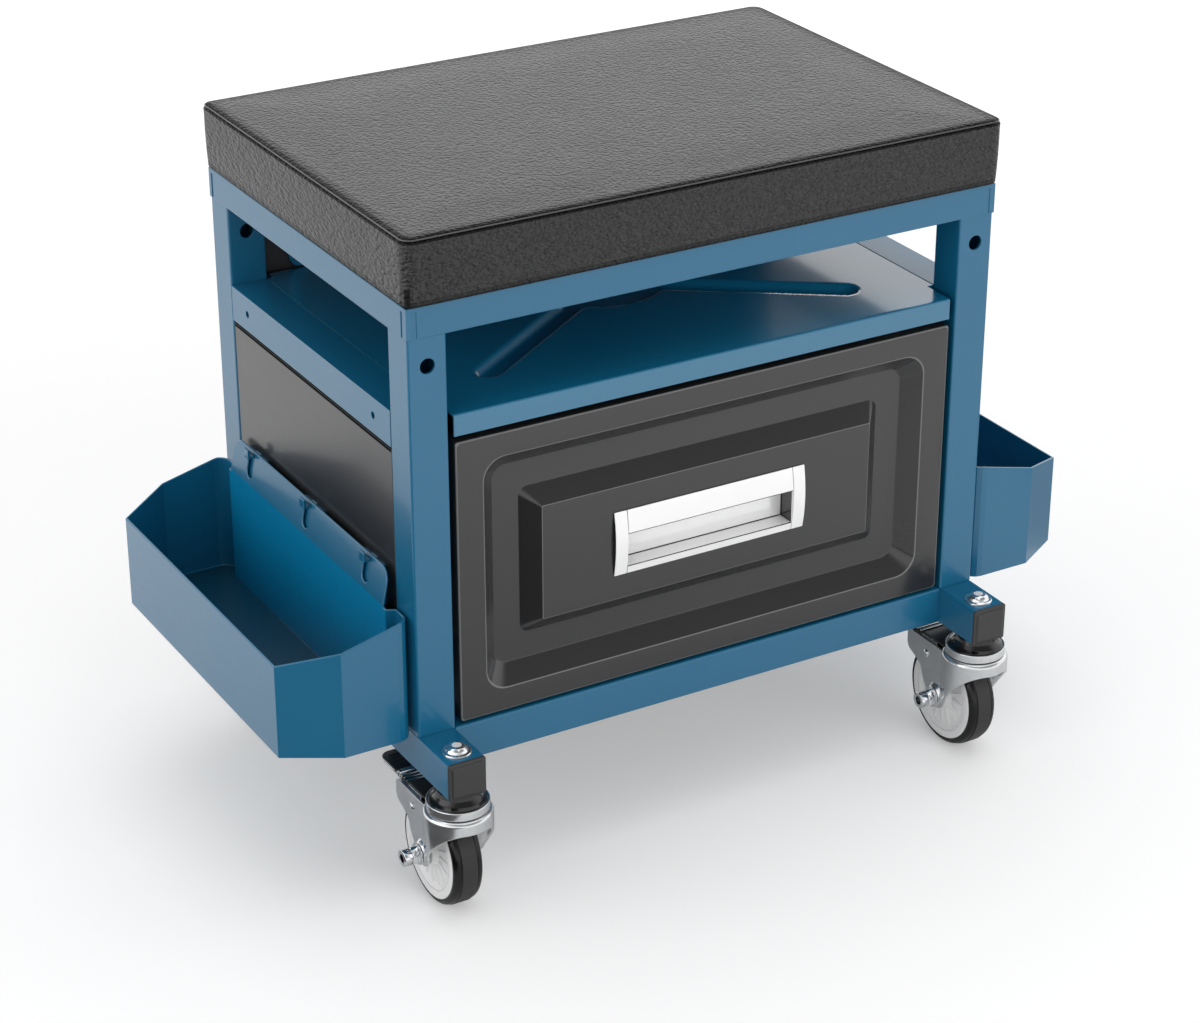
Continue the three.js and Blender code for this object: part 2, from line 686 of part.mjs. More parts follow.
// Drawer front: rings of the pressed face from its edge to the handle opening, then back behind it
const plateauHalfX = frontHalfWidth - fieldBorder - fieldSlope - fieldWidth - plateauSlope;
const plateauHalfZ = frontHalfHeight - fieldBorderTall - fieldSlope - fieldWidth - plateauSlope;
const plateauFace = frontFace + fieldDepth - plateauRise;
const openingHalfX = handleLength / 2 - handleSeat;
const openingHalfZ = handleHeight / 2 - handleSeat;
function drawerFront() {
  const level = (halfX, halfZ, radius, y) => roundedRectangle(halfX, halfZ, radius, 4, [0, frontCentreZ])
    .map(([x, z]) => [x, y, z]);
  const step = (drawX, drawZ, radius, y) => level(frontHalfWidth - drawX, frontHalfHeight - drawZ, radius, y);
  const sink = frontFace + fieldDepth;
  const slope1 = fieldBorder + fieldSlope;
  const slope1Tall = fieldBorderTall + fieldSlope;
  const face = [
    [0, 0, frontCorner, frontFace],
    [fieldBorder, fieldBorderTall, fieldCorner, frontFace],
    [slope1, slope1Tall, fieldCorner - fieldSlope / 2, sink],
    [slope1 + fieldWidth, slope1Tall + fieldWidth, fieldCorner / 2, sink],
    [slope1 + fieldWidth + plateauSlope, slope1Tall + fieldWidth + plateauSlope, frontCorner, plateauFace],
  ];
  const rings = face.map((ring) => step(...ring));
  rings.push(level(openingHalfX, openingHalfZ, seatGap, plateauFace));
  rings.push(level(openingHalfX, openingHalfZ, seatGap, plateauFace + thinSheet));
  for (const [drawX, drawZ, radius, y] of face.slice(1).reverse()) {
    rings.push(step(drawX, drawZ, radius, y + thinSheet));
  }
  rings.push(step(thinSheet, thinSheet, frontCorner / 2, frontFace + thinSheet));
  rings.push(step(thinSheet, thinSheet, frontCorner / 2, frontBack));
  rings.push(step(0, 0, frontCorner, frontBack));
  return skin(rings, true);
}
add('drawer_front', drawerFront(), 'graphite');

// Flush handle: a hooded cup of one extruded section, closed by two end caps
const handleBackY = plateauFace - seatGap;
const cupBack = frontBack - seatGap;
const handleMiddle = frontCentreZ;
const profileEnd = handleLength / 2 - handleCapWidth;
// The face is bowed from top to bottom and stands out least along those two edges
function bowedFace(fromZ, toZ) {
  const points = [];
  for (let i = 0; i <= handleFacets; i++) {
    const z = fromZ + (toZ - fromZ) * i / handleFacets;
    const share = 2 * (z - handleMiddle) / handleHeight;
    points.push([plateauFace - handleEdgeProud - handleBow * (1 - share ** 2), z]);
  }
  return points;
}
function handle() {
  const top = handleMiddle + handleHeight / 2;
  const bottom = handleMiddle - handleHeight / 2;
  const cupTop = handleMiddle + openingHalfZ - seatGap;
  const cupBottom = handleMiddle - openingHalfZ + seatGap;
  const hoodFoot = top - handleHood;
  const mouthFloor = cupBottom + handleWall;
  const [[floorY]] = bowedFace(mouthFloor, bottom);
  const profile = [
    [handleBackY, bottom],
    [handleBackY, cupBottom],
    [cupBack, cupBottom],
    [cupBack, cupTop],
    [handleBackY, cupTop],
    [handleBackY, top],
    ...bowedFace(top, hoodFoot),
    ...bowedFace(hoodFoot, cupTop - handleWall).map(([y, z]) => [y + handleWall, z]),
    [cupBack - handleWall, cupTop - handleWall],
    [cupBack - handleWall, mouthFloor],
    [floorY + handleWall, mouthFloor],
    ...bowedFace(bottom + handleLipHeight, bottom),
  ];
  return alongX(outline(profile), -profileEnd + seatGap, profileEnd - seatGap);
}
add('drawer_handle', handle(), 'bright');

for (const [sideName, sideSign] of sides) {
  const top = handleMiddle + handleHeight / 2;
  const bottom = handleMiddle - handleHeight / 2;
  const flange = acrossX(outline([
    [handleBackY, bottom],
    [handleBackY, top],
    ...bowedFace(top, handleMiddle),
    ...bowedFace(handleMiddle, bottom).slice(1),
  ]), sideSign * profileEnd, sideSign * handleLength / 2);
  const spigotHalf = openingHalfZ - seatGap;
  const spigot = block(sideSign * profileEnd, sideSign * (openingHalfX - seatGap), handleBackY - handleEdgeProud / 2,
    cupBack, handleMiddle - spigotHalf, handleMiddle + spigotHalf);
  add(`drawer_handle_${sideName}_cap`, union(flange, spigot), 'bright');
}

// Drawer box: an open-topped folded box with hemmed edges, hung on the runners
const boxHalfX = postInnerX - seatGap - runnerThickness - seatGap;
const boxBottom = frontBottom + boxFloorRise;
function drawerBox() {
  const front = frontBack;
  const back = front + boxDepth;
  const top = boxBottom + boxHeight;
  const shell = cut(
    block(-boxHalfX, boxHalfX, front, back, boxBottom, top),
    block(-boxHalfX + thinSheet, boxHalfX - thinSheet, front + thinSheet, back - thinSheet,
      boxBottom + thinSheet, top + overrun));
  const hems = sides.map(([, sign]) => block(sign * boxHalfX, sign * (boxHalfX - boxHem), front, back,
    top - thinSheet, top));
  return union(shell, ...hems);
}
add('drawer_box', drawerBox(), 'black');

// Runners: a channel screwed to the posts and a smaller one on the drawer, one inside the other
const runnerMiddle = frontBottom + runnerRise;
for (const [sideName, sideSign] of sides) {
  const wall = postInnerX - seatGap;
  const outerHalf = runnerHeight / 2;
  const channel = (backX, mouthX, half, lip) => {
    const inward = Math.sign(mouthX - backX);
    return [
      [backX, -half], [backX, half], [mouthX, half], [mouthX, half - lip],
      [mouthX - inward * runnerGauge, half - lip], [mouthX - inward * runnerGauge, half - runnerGauge],
      [backX + inward * runnerGauge, half - runnerGauge], [backX + inward * runnerGauge, -half + runnerGauge],
      [mouthX - inward * runnerGauge, -half + runnerGauge], [mouthX - inward * runnerGauge, -half + lip],
      [mouthX, -half + lip], [mouthX, -half],
    ].map(([x, z]) => [sideSign * x, runnerMiddle + z]);
  };
  const frontEnd = frontBack + seatGap;
  const cabinet = channel(wall, wall - runnerThickness + 2 * runnerPlay, outerHalf, runnerLip);
  add(`${sideName}_cabinet_runner`, alongY(outline(cabinet), frontEnd, frontEnd + runnerLength), 'zinc');
  const innerHalf = outerHalf - runnerLip - runnerPlay;
  const bead = [
    [boxHalfX + seatGap, -innerHalf], [boxHalfX + seatGap, innerHalf],
    [wall - runnerThickness + 2 * runnerPlay + runnerGauge, innerHalf],
    [wall - runnerThickness + 2 * runnerPlay + runnerGauge + runnerPlay, outerHalf - runnerGauge - runnerPlay],
    [wall - runnerGauge - runnerPlay, outerHalf - runnerGauge - runnerPlay],
    [wall - runnerGauge - runnerPlay, outerHalf - 2 * runnerGauge - runnerPlay],
    [boxHalfX + seatGap + runnerGauge, innerHalf - runnerGauge],
    [boxHalfX + seatGap + runnerGauge, -innerHalf + runnerGauge],
    [wall - runnerGauge - runnerPlay, -outerHalf + 2 * runnerGauge + runnerPlay],
    [wall - runnerGauge - runnerPlay, -outerHalf + runnerGauge + runnerPlay],
    [wall - runnerThickness + 2 * runnerPlay + runnerGauge + runnerPlay, -outerHalf + runnerGauge + runnerPlay],
    [wall - runnerThickness + 2 * runnerPlay + runnerGauge, -innerHalf],
  ].map(([x, z]) => [sideSign * x, runnerMiddle + z]);
  add(`${sideName}_drawer_runner`, alongY(outline(bead), frontEnd, frontEnd + boxDepth - seatGap), 'zinc');
}

// Trays: a folded bin with chamfered outer corners and a leaning strip that hangs on three hooks
function tray(sideSign) {
  const halfLength = trayLength / 2;
  const outerWall = trayBack + trayReach;
  const stripHalf = trayStripWidth / 2;
  const halfPlan = [[trayPlate, stripHalf + trayBackStep / 2], [trayBack, stripHalf + trayBackStep]];
  for (let i = 0; i <= 4; i++) {
    const angle = Math.PI * i / 8;
    halfPlan.push([
      trayBack + trayCorner * (1 - Math.cos(angle)),
      halfLength - trayCorner + trayCorner * Math.sin(angle),
    ]);
  }
  halfPlan.push([outerWall - trayChamferOut, halfLength], [outerWall, halfLength - trayChamferAlong]);
  const plan = [...halfPlan.map(([u, y]) => [u, y]), ...halfPlan.reverse().map(([u, y]) => [u, -y])].reverse();
  const top = trayBottom + trayBackHeight;
  const bin = cut(
    alongZ(outline(plan), trayBottom, top),
    alongZ(outline(inset(plan, sheet)), trayBottom + sheet, top + overrun));
  const slopeStart = trayPlate + sheet + seatGap;
  const fall = (trayBackHeight - trayFrontHeight) / (outerWall - slopeStart);
  const pastWall = outerWall + overrun;
  const rimTool = alongY(outline([
    [slopeStart, top], [pastWall, top - fall * (pastWall - slopeStart)],
    [pastWall, top + overrun], [slopeStart, top + overrun],
  ]), -halfLength - overrun, halfLength + overrun);
  const stripTop = stripFoot + trayStripHeight;
  const slotPoints = (place) => {
    const slotTop = stripTop - slotDrop;
    const points = [[slotWidth / 2, slotTop], [-slotWidth / 2, slotTop]];
    for (let i = 0; i <= 6; i++) {
      const angle = Math.PI * (1 + i / 6);
      points.push([
        slotWidth / 2 * Math.cos(angle),
        slotTop - slotHeight + slotWidth / 2 * (1 + Math.sin(angle)),
      ]);
    }
    return points.map(([y, z]) => [place * hookSpacing + y, z]);
  };
  const face = [[-stripHalf, top - 2 * sheet], [stripHalf, top - 2 * sheet]];
  for (const [signY, startShare] of [[1, 0], [-1, 0.5]]) {
    for (let i = 0; i <= cornerFacets; i++) {
      const angle = Math.PI * (startShare + i / cornerFacets / 2);
      face.push([
        signY * (stripHalf - trayStripCorner) + trayStripCorner * Math.cos(angle),
        stripTop - trayStripCorner + trayStripCorner * Math.sin(angle),
      ]);
    }
  }
  const folded = alongY(outline([
    [trayPlate, top - sheet],
    [trayPlate + sheet, top - sheet],
    [trayPlate + sheet, stripFoot],
    [trayPlate + sheet - trayStripLean, stripTop],
    [trayPlate - trayStripLean, stripTop],
    [trayPlate, stripFoot],
  ]), -halfLength, halfLength);
  const strip = folded.intersect(alongX(outline(face, [-1, 0, 1].map(slotPoints)),
    trayPlate - trayStripLean - overrun, trayPlate + sheet + overrun));
  const body = union(cut(bin, rimTool), strip);
  return sideSign > 0 ? body : body.mirror([1, 0, 0]);
}
for (const [sideName, sideSign] of sides) add(`${sideName}_tray`, tray(sideSign), 'blue');

// Casters: built about the swivel axis with the mounting face at height zero, trailing along +Y
const cupFloorZ = -cupRimDrop - cupSkirt;
const crownTop = cupFloorZ - runningGap;
const crownBottom = crownTop - crownGauge;
const stemTop = tubeSize + stemHeadRoom;
const legInner = forkWidth / 2 - forkGauge;
const bendY = Math.sqrt(crownRadius ** 2 - (forkWidth / 2) ** 2);
const pivotY = casterTrail + pivotBack;
const pivotZ = pivotRise - axleDrop;

// Stem: threaded end, seal, upper cup and the kingpin riveted under the crown
function stem() {
  const stemRadius = stemDiameter / 2;
  const rivetTop = crownBottom - runningGap;
  const cupInner = cupRadius - cupWall;
  return turned([
    [0, rivetTop - rivetThickness],
    [rivetRadius, rivetTop - rivetThickness],
    [rivetRadius, rivetTop],
    [kingpinRadius, rivetTop],
    [kingpinRadius, -cupRimDrop - cupWall],
    [cupInner, -cupRimDrop - cupWall],
    [cupInner, cupFloorZ],
    [cupRadius, cupFloorZ],
    [cupRadius, -cupRimDrop],
    [sealRadius, -cupRimDrop],
    [(sealRadius + sealNeckRadius) / 2, -cupRimDrop / 3],
    [sealNeckRadius, 0],
    [stemRadius, 0],
    [stemRadius, stemTop],
    [0, stemTop],
  ]);
}

function capNut() {
  const bore = stemDiameter / 2 + seatGap;
  return turned([
    [bore, tubeSize],
    [capNutRadius, tubeSize],
    [capNutRadius - capNutFlange / 2, tubeSize + capNutFlange],
    [bore + capNutFlange, tubeSize + (capNutFlange + capNutShoulder) / 2],
    [bore, tubeSize + capNutShoulder],
    [bore / 2, tubeSize + capNutRise],
    [0, tubeSize + capNutRise],
    [0, stemTop + seatGap],
    [bore, stemTop + seatGap],
    [bore, tubeSize],
  ], boreFacets);
}

// Fork: a pressed crown whose skirt arches round the front and runs into two flat legs
function fork(braked) {
  const bore = kingpinRadius + seatGap;
  const disc = turned([
    [bore, crownBottom],
    [crownRadius, crownBottom],
    [crownRadius, crownTop - crownShoulder],
    [crownRadius - crownShoulder, crownTop],
    [bore, crownTop],
    [bore, crownBottom],
  ]);
  const crown = cut(disc, block(-crownRadius, crownRadius, bendY - forkGauge, crownRadius + overrun,
    crownBottom - overrun, crownTop + overrun));

  const skirtSteps = 20;
  const endAngle = Math.PI - Math.asin(forkWidth / 2 / crownRadius);
  const tipZ = -axleDrop - legTipDrop;
  const archTop = crownTop - archHeight;
  const sections = [];
  for (let i = 0; i <= skirtSteps; i++) {
    const angle = endAngle * (2 * i / skirtSteps - 1);
    const share = Math.max(0, Math.abs(angle) - archFlatAngle) / (archFootAngle - archFlatAngle);
    const edge = archTop + (tipZ - archTop) * Math.min(1, share ** 2);
    const at = (radius, z) => [radius * Math.sin(angle), -radius * Math.cos(angle), z];
    const skirtTop = crownTop - crownShoulder;
    sections.push([
      at(crownRadius, skirtTop), at(crownRadius - forkGauge, skirtTop),
      at(crownRadius - forkGauge, edge), at(crownRadius, edge),
    ]);
  }

  const legTop = crownTop - legTopDrop;
  const behind = (back, rise) => [casterTrail + back, rise - axleDrop];
  const backEdge = braked
    ? [
      [casterTrail + earBack, legTop],
      behind(earBack, earFootRise),
      behind(legNotchBack + forkGauge * 2, earFootRise - forkGauge),
      behind(legNotchBack, legNotchRise),
    ]
    : [[casterTrail + plainLegBack - legTipWidth, legTop], behind(plainLegBack, legNotchRise)];
  const legPoints = [
    [bendY - forkGauge, legTop],
    ...backEdge,
    behind(legHeelBack, legHeelRise),
    [casterTrail - legTipLead + legTipWidth, tipZ],
    [casterTrail - legTipLead, tipZ],
    [bendY - forkGauge, tipZ + forkGauge],
  ];
  const legs = sides.map(([, sign]) => acrossX(outline(legPoints), sign * legInner, sign * forkWidth / 2));
  const bossFace = forkWidth / 2 + bossRise;
  const bosses = sides.map(([, sign]) => turnedAlongX([
    [0, sign * (forkWidth / 2 - forkGauge / 2)],
    [bossBaseRadius, sign * (forkWidth / 2 - forkGauge / 2)],
    [bossBaseRadius, sign * forkWidth / 2],
    [bossTopRadius, sign * bossFace],
    [0, sign * bossFace],
  ]).translate([0, casterTrail, -axleDrop]));
  const through = bossFace + overrun;
  const bores = [rod('x', axleDiameter / 2 + seatGap, -through, through, [casterTrail, -axleDrop], boreFacets)];
  if (braked) {
    bores.push(rod('x', pivotDiameter / 2 + seatGap, -through, through, [pivotY, pivotZ], boreFacets));
  }
  return cut(union(crown, skin(sections), ...legs, ...bosses), ...bores);
}

// Axle bolt with its head on one side and a sleeved nut on the other
function axle() {
  const radius = axleDiameter / 2;
  const outer = forkWidth / 2 + bossRise + seatGap;
  const nutEnd = outer + nutLength;
  const boltEnd = nutEnd + boltEndLength;
  const shaft = turnedAlongX([
    [0, boltSocketDepth - boltEnd],
    [boltSocketDiameter / 2, boltSocketDepth - boltEnd],
    [boltSocketDiameter / 2, -boltEnd],
    [boltEndDiameter / 2, -boltEnd],
    [boltEndDiameter / 2, -nutEnd],
    [radius, -nutEnd],
    [radius, outer + boltHeadLength / 2],
    [0, outer + boltHeadLength / 2],
  ], boreFacets);
  const corner = nutAcrossFlats / Math.sqrt(3);
  const hex = outline(circlePoints(corner, [0, 0], 6).map(([y, z]) => [z, y]));
  return union(shaft, alongX(hex, -nutEnd, -outer), alongX(hex, outer, outer + boltHeadLength));
}

// Wheel hub: a rim, a thin web and a boss, with ribs standing out on both sides of the web
const hubRadius = wheelRadius - tyreThickness;
const hubHalfWidth = tyreWidth / 2 + hubRimProud;
function hub() {
  const rimInner = hubRadius - hubRimWidth;
  const halfBoss = legInner - runningGap;
  const bore = axleDiameter / 2 + seatGap;
  const half = (sign) => [
    [bore, sign * halfBoss],
    [hubBossRadius, sign * halfBoss],
    [hubBossRadius, sign * hubWeb / 2],
    [rimInner, sign * hubWeb / 2],
    [rimInner, sign * (hubHalfWidth - hubRimBevel)],
    [rimInner + hubRimBevel, sign * hubHalfWidth],
    [hubRadius, sign * hubHalfWidth],
  ];
  const profile = [...half(-1), ...half(1).reverse(), half(-1)[0]];
  const ribHalf = hubHalfWidth - hubRibSetback;
  const rib = block(-ribHalf, ribHalf, hubBossRadius - hubRibGauge, rimInner + hubRibGauge,
    -hubRibGauge / 2, hubRibGauge / 2);
  const ribs = Array.from({ length: hubRibCount }, (_, i) => rib.rotate([360 * (i + 0.5) / hubRibCount, 0, 0]));
  return union(turnedAlongX(profile, turnedFacets), ...ribs);
}

function tyre() {
  const half = tyreWidth / 2;
  const side = (sign) => [
    [hubRadius + seatGap, sign * half],
    [wheelRadius - tyreShoulderDrop, sign * half],
    [wheelRadius - treadGroove, sign * (half - tyreShoulderWidth)],
    [wheelRadius, sign * (half - tyreShoulderWidth - treadGroove)],
  ];
  return turnedAlongX([...side(-1), ...side(1).reverse(), side(-1)[0]], tyreFacets);
}

// Brake pedal: a plate over the wheel between two riveted cheeks, with a ribbed step,
// a shoe above the tyre and a foot pad behind the fork
function pedal() {
  const top = crownTop - pedalCrownDrop;
  const cheekOuter = legInner - seatGap;
  const cheekInner = cheekOuter - pedalCheek;
  const dipY = pedalFlat + pedalRibPitch;
  const padStart = casterTrail + earBack + runningGap;
  const plate = cut(
    alongX(outline([
      [bendY - forkGauge, top - pedalGauge],
      [pedalFlat, top - pedalGauge],
      [dipY, top - pedalGauge - pedalDip],
      [padStart + pedalGauge, top - pedalGauge - pedalDip],
      [padStart + pedalGauge, top - pedalDip],
      [dipY, top - pedalDip],
      [pedalFlat, top],
      [bendY - forkGauge, top],
    ]), -cheekOuter, cheekOuter),
    rod('z', cupRadius + runningGap, top - pedalGauge - overrun, top + overrun, [0, 0], tyreFacets));
  const ribs = [];
  for (let i = 0; i < pedalRibCount; i++) {
    const y = dipY + pedalRibPitch * i - pedalRibWidth / 2;
    ribs.push(block(-cheekOuter, cheekOuter, y, y + pedalRibWidth, top - pedalDip - pedalGauge / 2,
      top - pedalDip + pedalRibHeight));
  }
  const clip = block(-cheekOuter, cheekOuter, padStart - clipWidth, padStart + pedalGauge,
    top - pedalDip - pedalGauge / 2, top - pedalDip + clipHeight);
  const padOutline = roundedRectangle(padWidth / 2, padLength, padCorner, cornerFacets, [0, padStart])
    .filter(([, y]) => y > padStart);
  const pad = alongZ(outline([...padOutline, [-padWidth / 2, padStart], [padWidth / 2, padStart]]),
    top + padRise - padThickness, top + padRise);
  const cheekTop = top - pedalDip - pedalGauge / 2;
  const cheeks = sides.map(([, sign]) => union(
    acrossX(outline([
      [pivotY - pivotDiameter * 2, cheekTop],
      [pivotY - pivotDiameter, pivotZ - pivotDiameter / 2],
      [pivotY, pivotZ - pivotDiameter],
      [pivotY + pivotDiameter, pivotZ - pivotDiameter / 2],
      [padStart, cheekTop - pedalDip],
      [padStart, cheekTop],
    ]), sign * cheekInner, sign * cheekOuter),
    acrossX(outline(circlePoints(pivotDiameter / 2, [pivotY, pivotZ], boreFacets)),
      sign * (cheekOuter - pedalCheek / 2), sign * (forkWidth / 2 + seatGap))));
  const shoeY = pivotY + shoeForward;
  const tyreLevel = Math.sqrt(wheelRadius ** 2 - (shoeY - casterTrail) ** 2) - axleDrop;
  const shoe = block(-cheekOuter, cheekOuter, shoeY, shoeY + shoeLength, tyreLevel + shoeClearance, cheekTop);
  return union(plate, ...ribs, clip, pad, ...cheeks, shoe);
}

// Each caster turns its wheel in under the seat, so the rear pair is the front pair turned half round
for (const [endName, endSign] of ends) {
  for (const [sideName, sideSign] of sides) {
    const braked = endName === 'front';
    const mount = new THREE.Group();
    mount.position.set(sideSign * tubeCentreX, endSign * stemY, skidBottom);
    mount.rotation.z = endSign > 0 ? Math.PI : 0;
    const wheel = new THREE.Group();
    wheel.position.set(0, casterTrail, -axleDrop);
    mount.add(wheel);
    seat.add(mount);
    const name = `${endName}_${sideName}`;
    mount.add(add(`${name}_caster_stem`, stem(), 'zinc'));
    mount.add(add(`${name}_cap_nut`, capNut(), 'zinc'));
    mount.add(add(`${name}_fork`, fork(braked), 'zinc'));
    wheel.add(add(`${name}_axle`, axle(), 'zinc'));
    wheel.add(add(`${name}_hub`, hub(), 'nylon'));
    wheel.add(add(`${name}_tyre`, tyre(), 'rubber'));
    if (braked) mount.add(add(`${name}_brake_pedal`, pedal(), 'black'));
  }
}

export default seat;
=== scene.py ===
import json
import math

import bmesh
import bpy
from mathutils import Matrix, Vector, kdtree

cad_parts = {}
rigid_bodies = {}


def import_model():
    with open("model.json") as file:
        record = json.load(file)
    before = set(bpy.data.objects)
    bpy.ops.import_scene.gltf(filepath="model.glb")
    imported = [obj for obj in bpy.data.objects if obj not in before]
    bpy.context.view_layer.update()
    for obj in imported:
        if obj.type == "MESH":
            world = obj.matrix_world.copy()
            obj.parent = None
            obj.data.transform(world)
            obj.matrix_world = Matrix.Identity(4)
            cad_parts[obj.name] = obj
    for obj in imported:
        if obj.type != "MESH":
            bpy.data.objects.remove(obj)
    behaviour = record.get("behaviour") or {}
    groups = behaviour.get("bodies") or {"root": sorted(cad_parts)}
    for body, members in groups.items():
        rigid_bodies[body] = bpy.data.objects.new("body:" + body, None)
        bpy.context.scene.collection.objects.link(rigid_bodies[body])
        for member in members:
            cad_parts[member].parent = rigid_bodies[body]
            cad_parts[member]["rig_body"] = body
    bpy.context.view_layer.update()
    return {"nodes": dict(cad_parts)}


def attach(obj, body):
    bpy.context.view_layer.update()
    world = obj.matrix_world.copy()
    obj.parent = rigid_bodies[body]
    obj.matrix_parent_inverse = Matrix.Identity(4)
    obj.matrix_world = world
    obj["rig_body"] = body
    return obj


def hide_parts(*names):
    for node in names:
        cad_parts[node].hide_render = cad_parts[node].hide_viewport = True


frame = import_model()

scene = bpy.context.scene
MM = 0.001
SIDES = (("left", -1), ("right", 1))
ENDS = (("front", -1), ("rear", 1))
CORNERS = [(f"{end}_{side}", side_sign, end_sign) for end, end_sign in ENDS for side, side_sign in SIDES]

# ------------------------------------------------------------------ camera

CAMERA_PLACE, YAW, PITCH, LENS = (-0.7947, -1.3654, 0.9153), -0.5274, -0.4573, 91.1


def aimed(thing, ahead):
    """Turns a camera or a lamp to look along a vector, and puts it in the scene."""
    thing.rotation_mode = "QUATERNION"
    thing.rotation_quaternion = ahead.to_track_quat("-Z", "Y")
    scene.collection.objects.link(thing)
    return thing


def stand_camera():
    lens = bpy.data.cameras.new("studio_camera")
    lens.lens = LENS
    lens.sensor_width = 36
    lens.sensor_fit = "HORIZONTAL"
    camera = bpy.data.objects.new("studio_camera", lens)
    camera.location = CAMERA_PLACE
    scene.camera = aimed(camera, Vector((
        -math.sin(YAW) * math.cos(PITCH), math.cos(YAW) * math.cos(PITCH), math.sin(PITCH))))


stand_camera()

# ------------------------------------------------------------------ mesh helpers


class edited:
    """A mesh as a bmesh inside a with block, written back at its end."""

    def __init__(self, mesh):
        self.mesh, self.form = mesh, bmesh.new()
        self.form.from_mesh(mesh)

    def __enter__(self):
        return self.form

    def __exit__(self, *_):
        self.form.to_mesh(self.mesh)
        self.form.free()


def object_of(name, mesh):
    piece = bpy.data.objects.new(name, mesh)
    scene.collection.objects.link(piece)
    return piece


def piece_from(name, points, faces):
    """A mesh object from points in millimetres."""
    mesh = bpy.data.meshes.new(name)
    mesh.from_pydata([(x * MM, y * MM, z * MM) for x, y, z in points], [], faces)
    mesh.validate()
    return object_of(name, mesh)


def made_solid(piece):
    """Merges doubled corners and turns every face outwards."""
    with edited(piece.data) as form:
        bmesh.ops.remove_doubles(form, verts=form.verts, dist=0.002 * MM)
        bmesh.ops.recalc_face_normals(form, faces=form.faces)
    return piece


def modified(piece, name, kind, **settings):
    """Adds a modifier with its settings."""
    modifier = piece.modifiers.new(name, kind)
    for key, value in settings.items():
        setattr(modifier, key, value)
    return piece


def applied(piece):
    """The piece with its modifiers made part of its mesh."""
    graph = bpy.context.evaluated_depsgraph_get()
    mesh = bpy.data.meshes.new_from_object(
        piece.evaluated_get(graph), preserve_all_data_layers=True, depsgraph=graph)
    piece.modifiers.clear()
    rough = piece.data
    piece.data = mesh
    bpy.data.meshes.remove(rough)
    return piece


def smoothed(piece, angle=32):
    piece.data.shade_smooth()
    piece.data.set_sharp_from_angle(angle=math.radians(angle))
    return piece


def flattened(piece, large=60 * MM * MM, fold=math.radians(5)):
    """Keeps flat faces flat in the light: folds between large faces stay crisp, and large faces rule the normals."""
    with edited(piece.data) as form:
        for edge in form.edges:
            if len(edge.link_faces) == 2 and min(face.calc_area() for face in edge.link_faces) > large:
                if edge.calc_face_angle(0.0) > fold:
                    edge.smooth = False
    return applied(modified(piece, "flat_faces", "WEIGHTED_NORMAL", keep_sharp=True, weight=50))


def softened(piece, width=0.5, segments=2, angle=40):
    """Rounds the edges as a press brake, a saw or a paint coat leaves them."""
    with edited(piece.data) as form:
        bmesh.ops.dissolve_limit(form, angle_limit=math.radians(0.6), verts=form.verts, edges=form.edges)
    smoothed(piece, angle)
    return applied(modified(piece, "edges", "BEVEL", width=width * MM, segments=segments, limit_method="ANGLE",
                            angle_limit=math.radians(angle), use_clamp_overlap=True, harden_normals=True))


def discard(piece):
    mesh = piece.data
    bpy.data.objects.remove(piece)
    if mesh.users == 0:
        bpy.data.meshes.remove(mesh)


def united(name, pieces):
    """Several meshes as one object."""
    mesh = bpy.data.meshes.new(name)
    with edited(mesh) as form:
        for piece in pieces:
            form.from_mesh(piece.data)
    for piece in pieces:
        discard(piece)
    mesh.shade_smooth()
    return object_of(name, mesh)


def cut(piece, *cutters, operation="DIFFERENCE"):
    """Cuts the cutters out of the piece, or keeps what it shares with them."""
    for cutter in cutters:
        modified(piece, "cutter", "BOOLEAN", operation=operation, solver="EXACT", object=cutter)
    applied(piece)
    for cutter in cutters:
        discard(cutter)
    return piece


def shifted(piece, x=0.0, y=0.0, z=0.0):
    piece.data.transform(Matrix.Translation((x * MM, y * MM, z * MM)))
    return piece


def handed(piece, sign):
    """The piece as it is for the right side, or mirrored for the left."""
    if sign < 0:
        piece.data.transform(Matrix.Scale(-1, 4, (1, 0, 0)))
        piece.data.flip_normals()
    return piece


def rounded_rectangle(half_u, half_v, radius, steps=6, centre=(0, 0)):
    points = []
    for sign_u, sign_v, start in ((1, -1, -0.5), (1, 1, 0), (-1, 1, 0.5), (-1, -1, 1)):
        for i in range(steps + 1):
            angle = math.pi * (start + i / steps / 2)
            points.append((
                centre[0] + sign_u * (half_u - radius) + radius * math.cos(angle),
                centre[1] + sign_v * (half_v - radius) + radius * math.sin(angle),
            ))
    return points


def circle(radius, steps=48, centre=(0, 0)):
    return [(centre[0] + radius * math.cos(2 * math.pi * i / steps),
             centre[1] + radius * math.sin(2 * math.pi * i / steps)) for i in range(steps)]


def skin(name, rings, looping=False, tones=None):
    """A closed skin over a row of point rings. A looping row also joins its last ring to its first.

    Tones give the material index of each band between two rings.
    """
    count = len(rings[0])
    points = [point for ring in rings for point in ring]
    faces = []
    last = len(rings) if looping else len(rings) - 1
    for i in range(last):
        here, after = i * count, ((i + 1) % len(rings)) * count
        for j in range(count):
            k = (j + 1) % count
            faces.append((here + j, here + k, after + k, after + j))
    if not looping:
        faces.append(tuple(range(count)))
        faces.append(tuple(range(last * count, (last + 1) * count)))
    piece = piece_from(name, points, faces)
    for face in piece.data.polygons if tones else ():
        face.material_index = tones[min(face.index // count, len(tones) - 1)]
    return made_solid(piece)


# A flat outline's (u, v) at w along an axis: (y, z) along X, (x, z) along Y, (x, y) up Z
PLACE_ALONG = {
    "x": lambda u, v, w: (w, u, v),
    "y": lambda u, v, w: (u, w, v),
    "z": lambda u, v, w: (u, v, w),
}


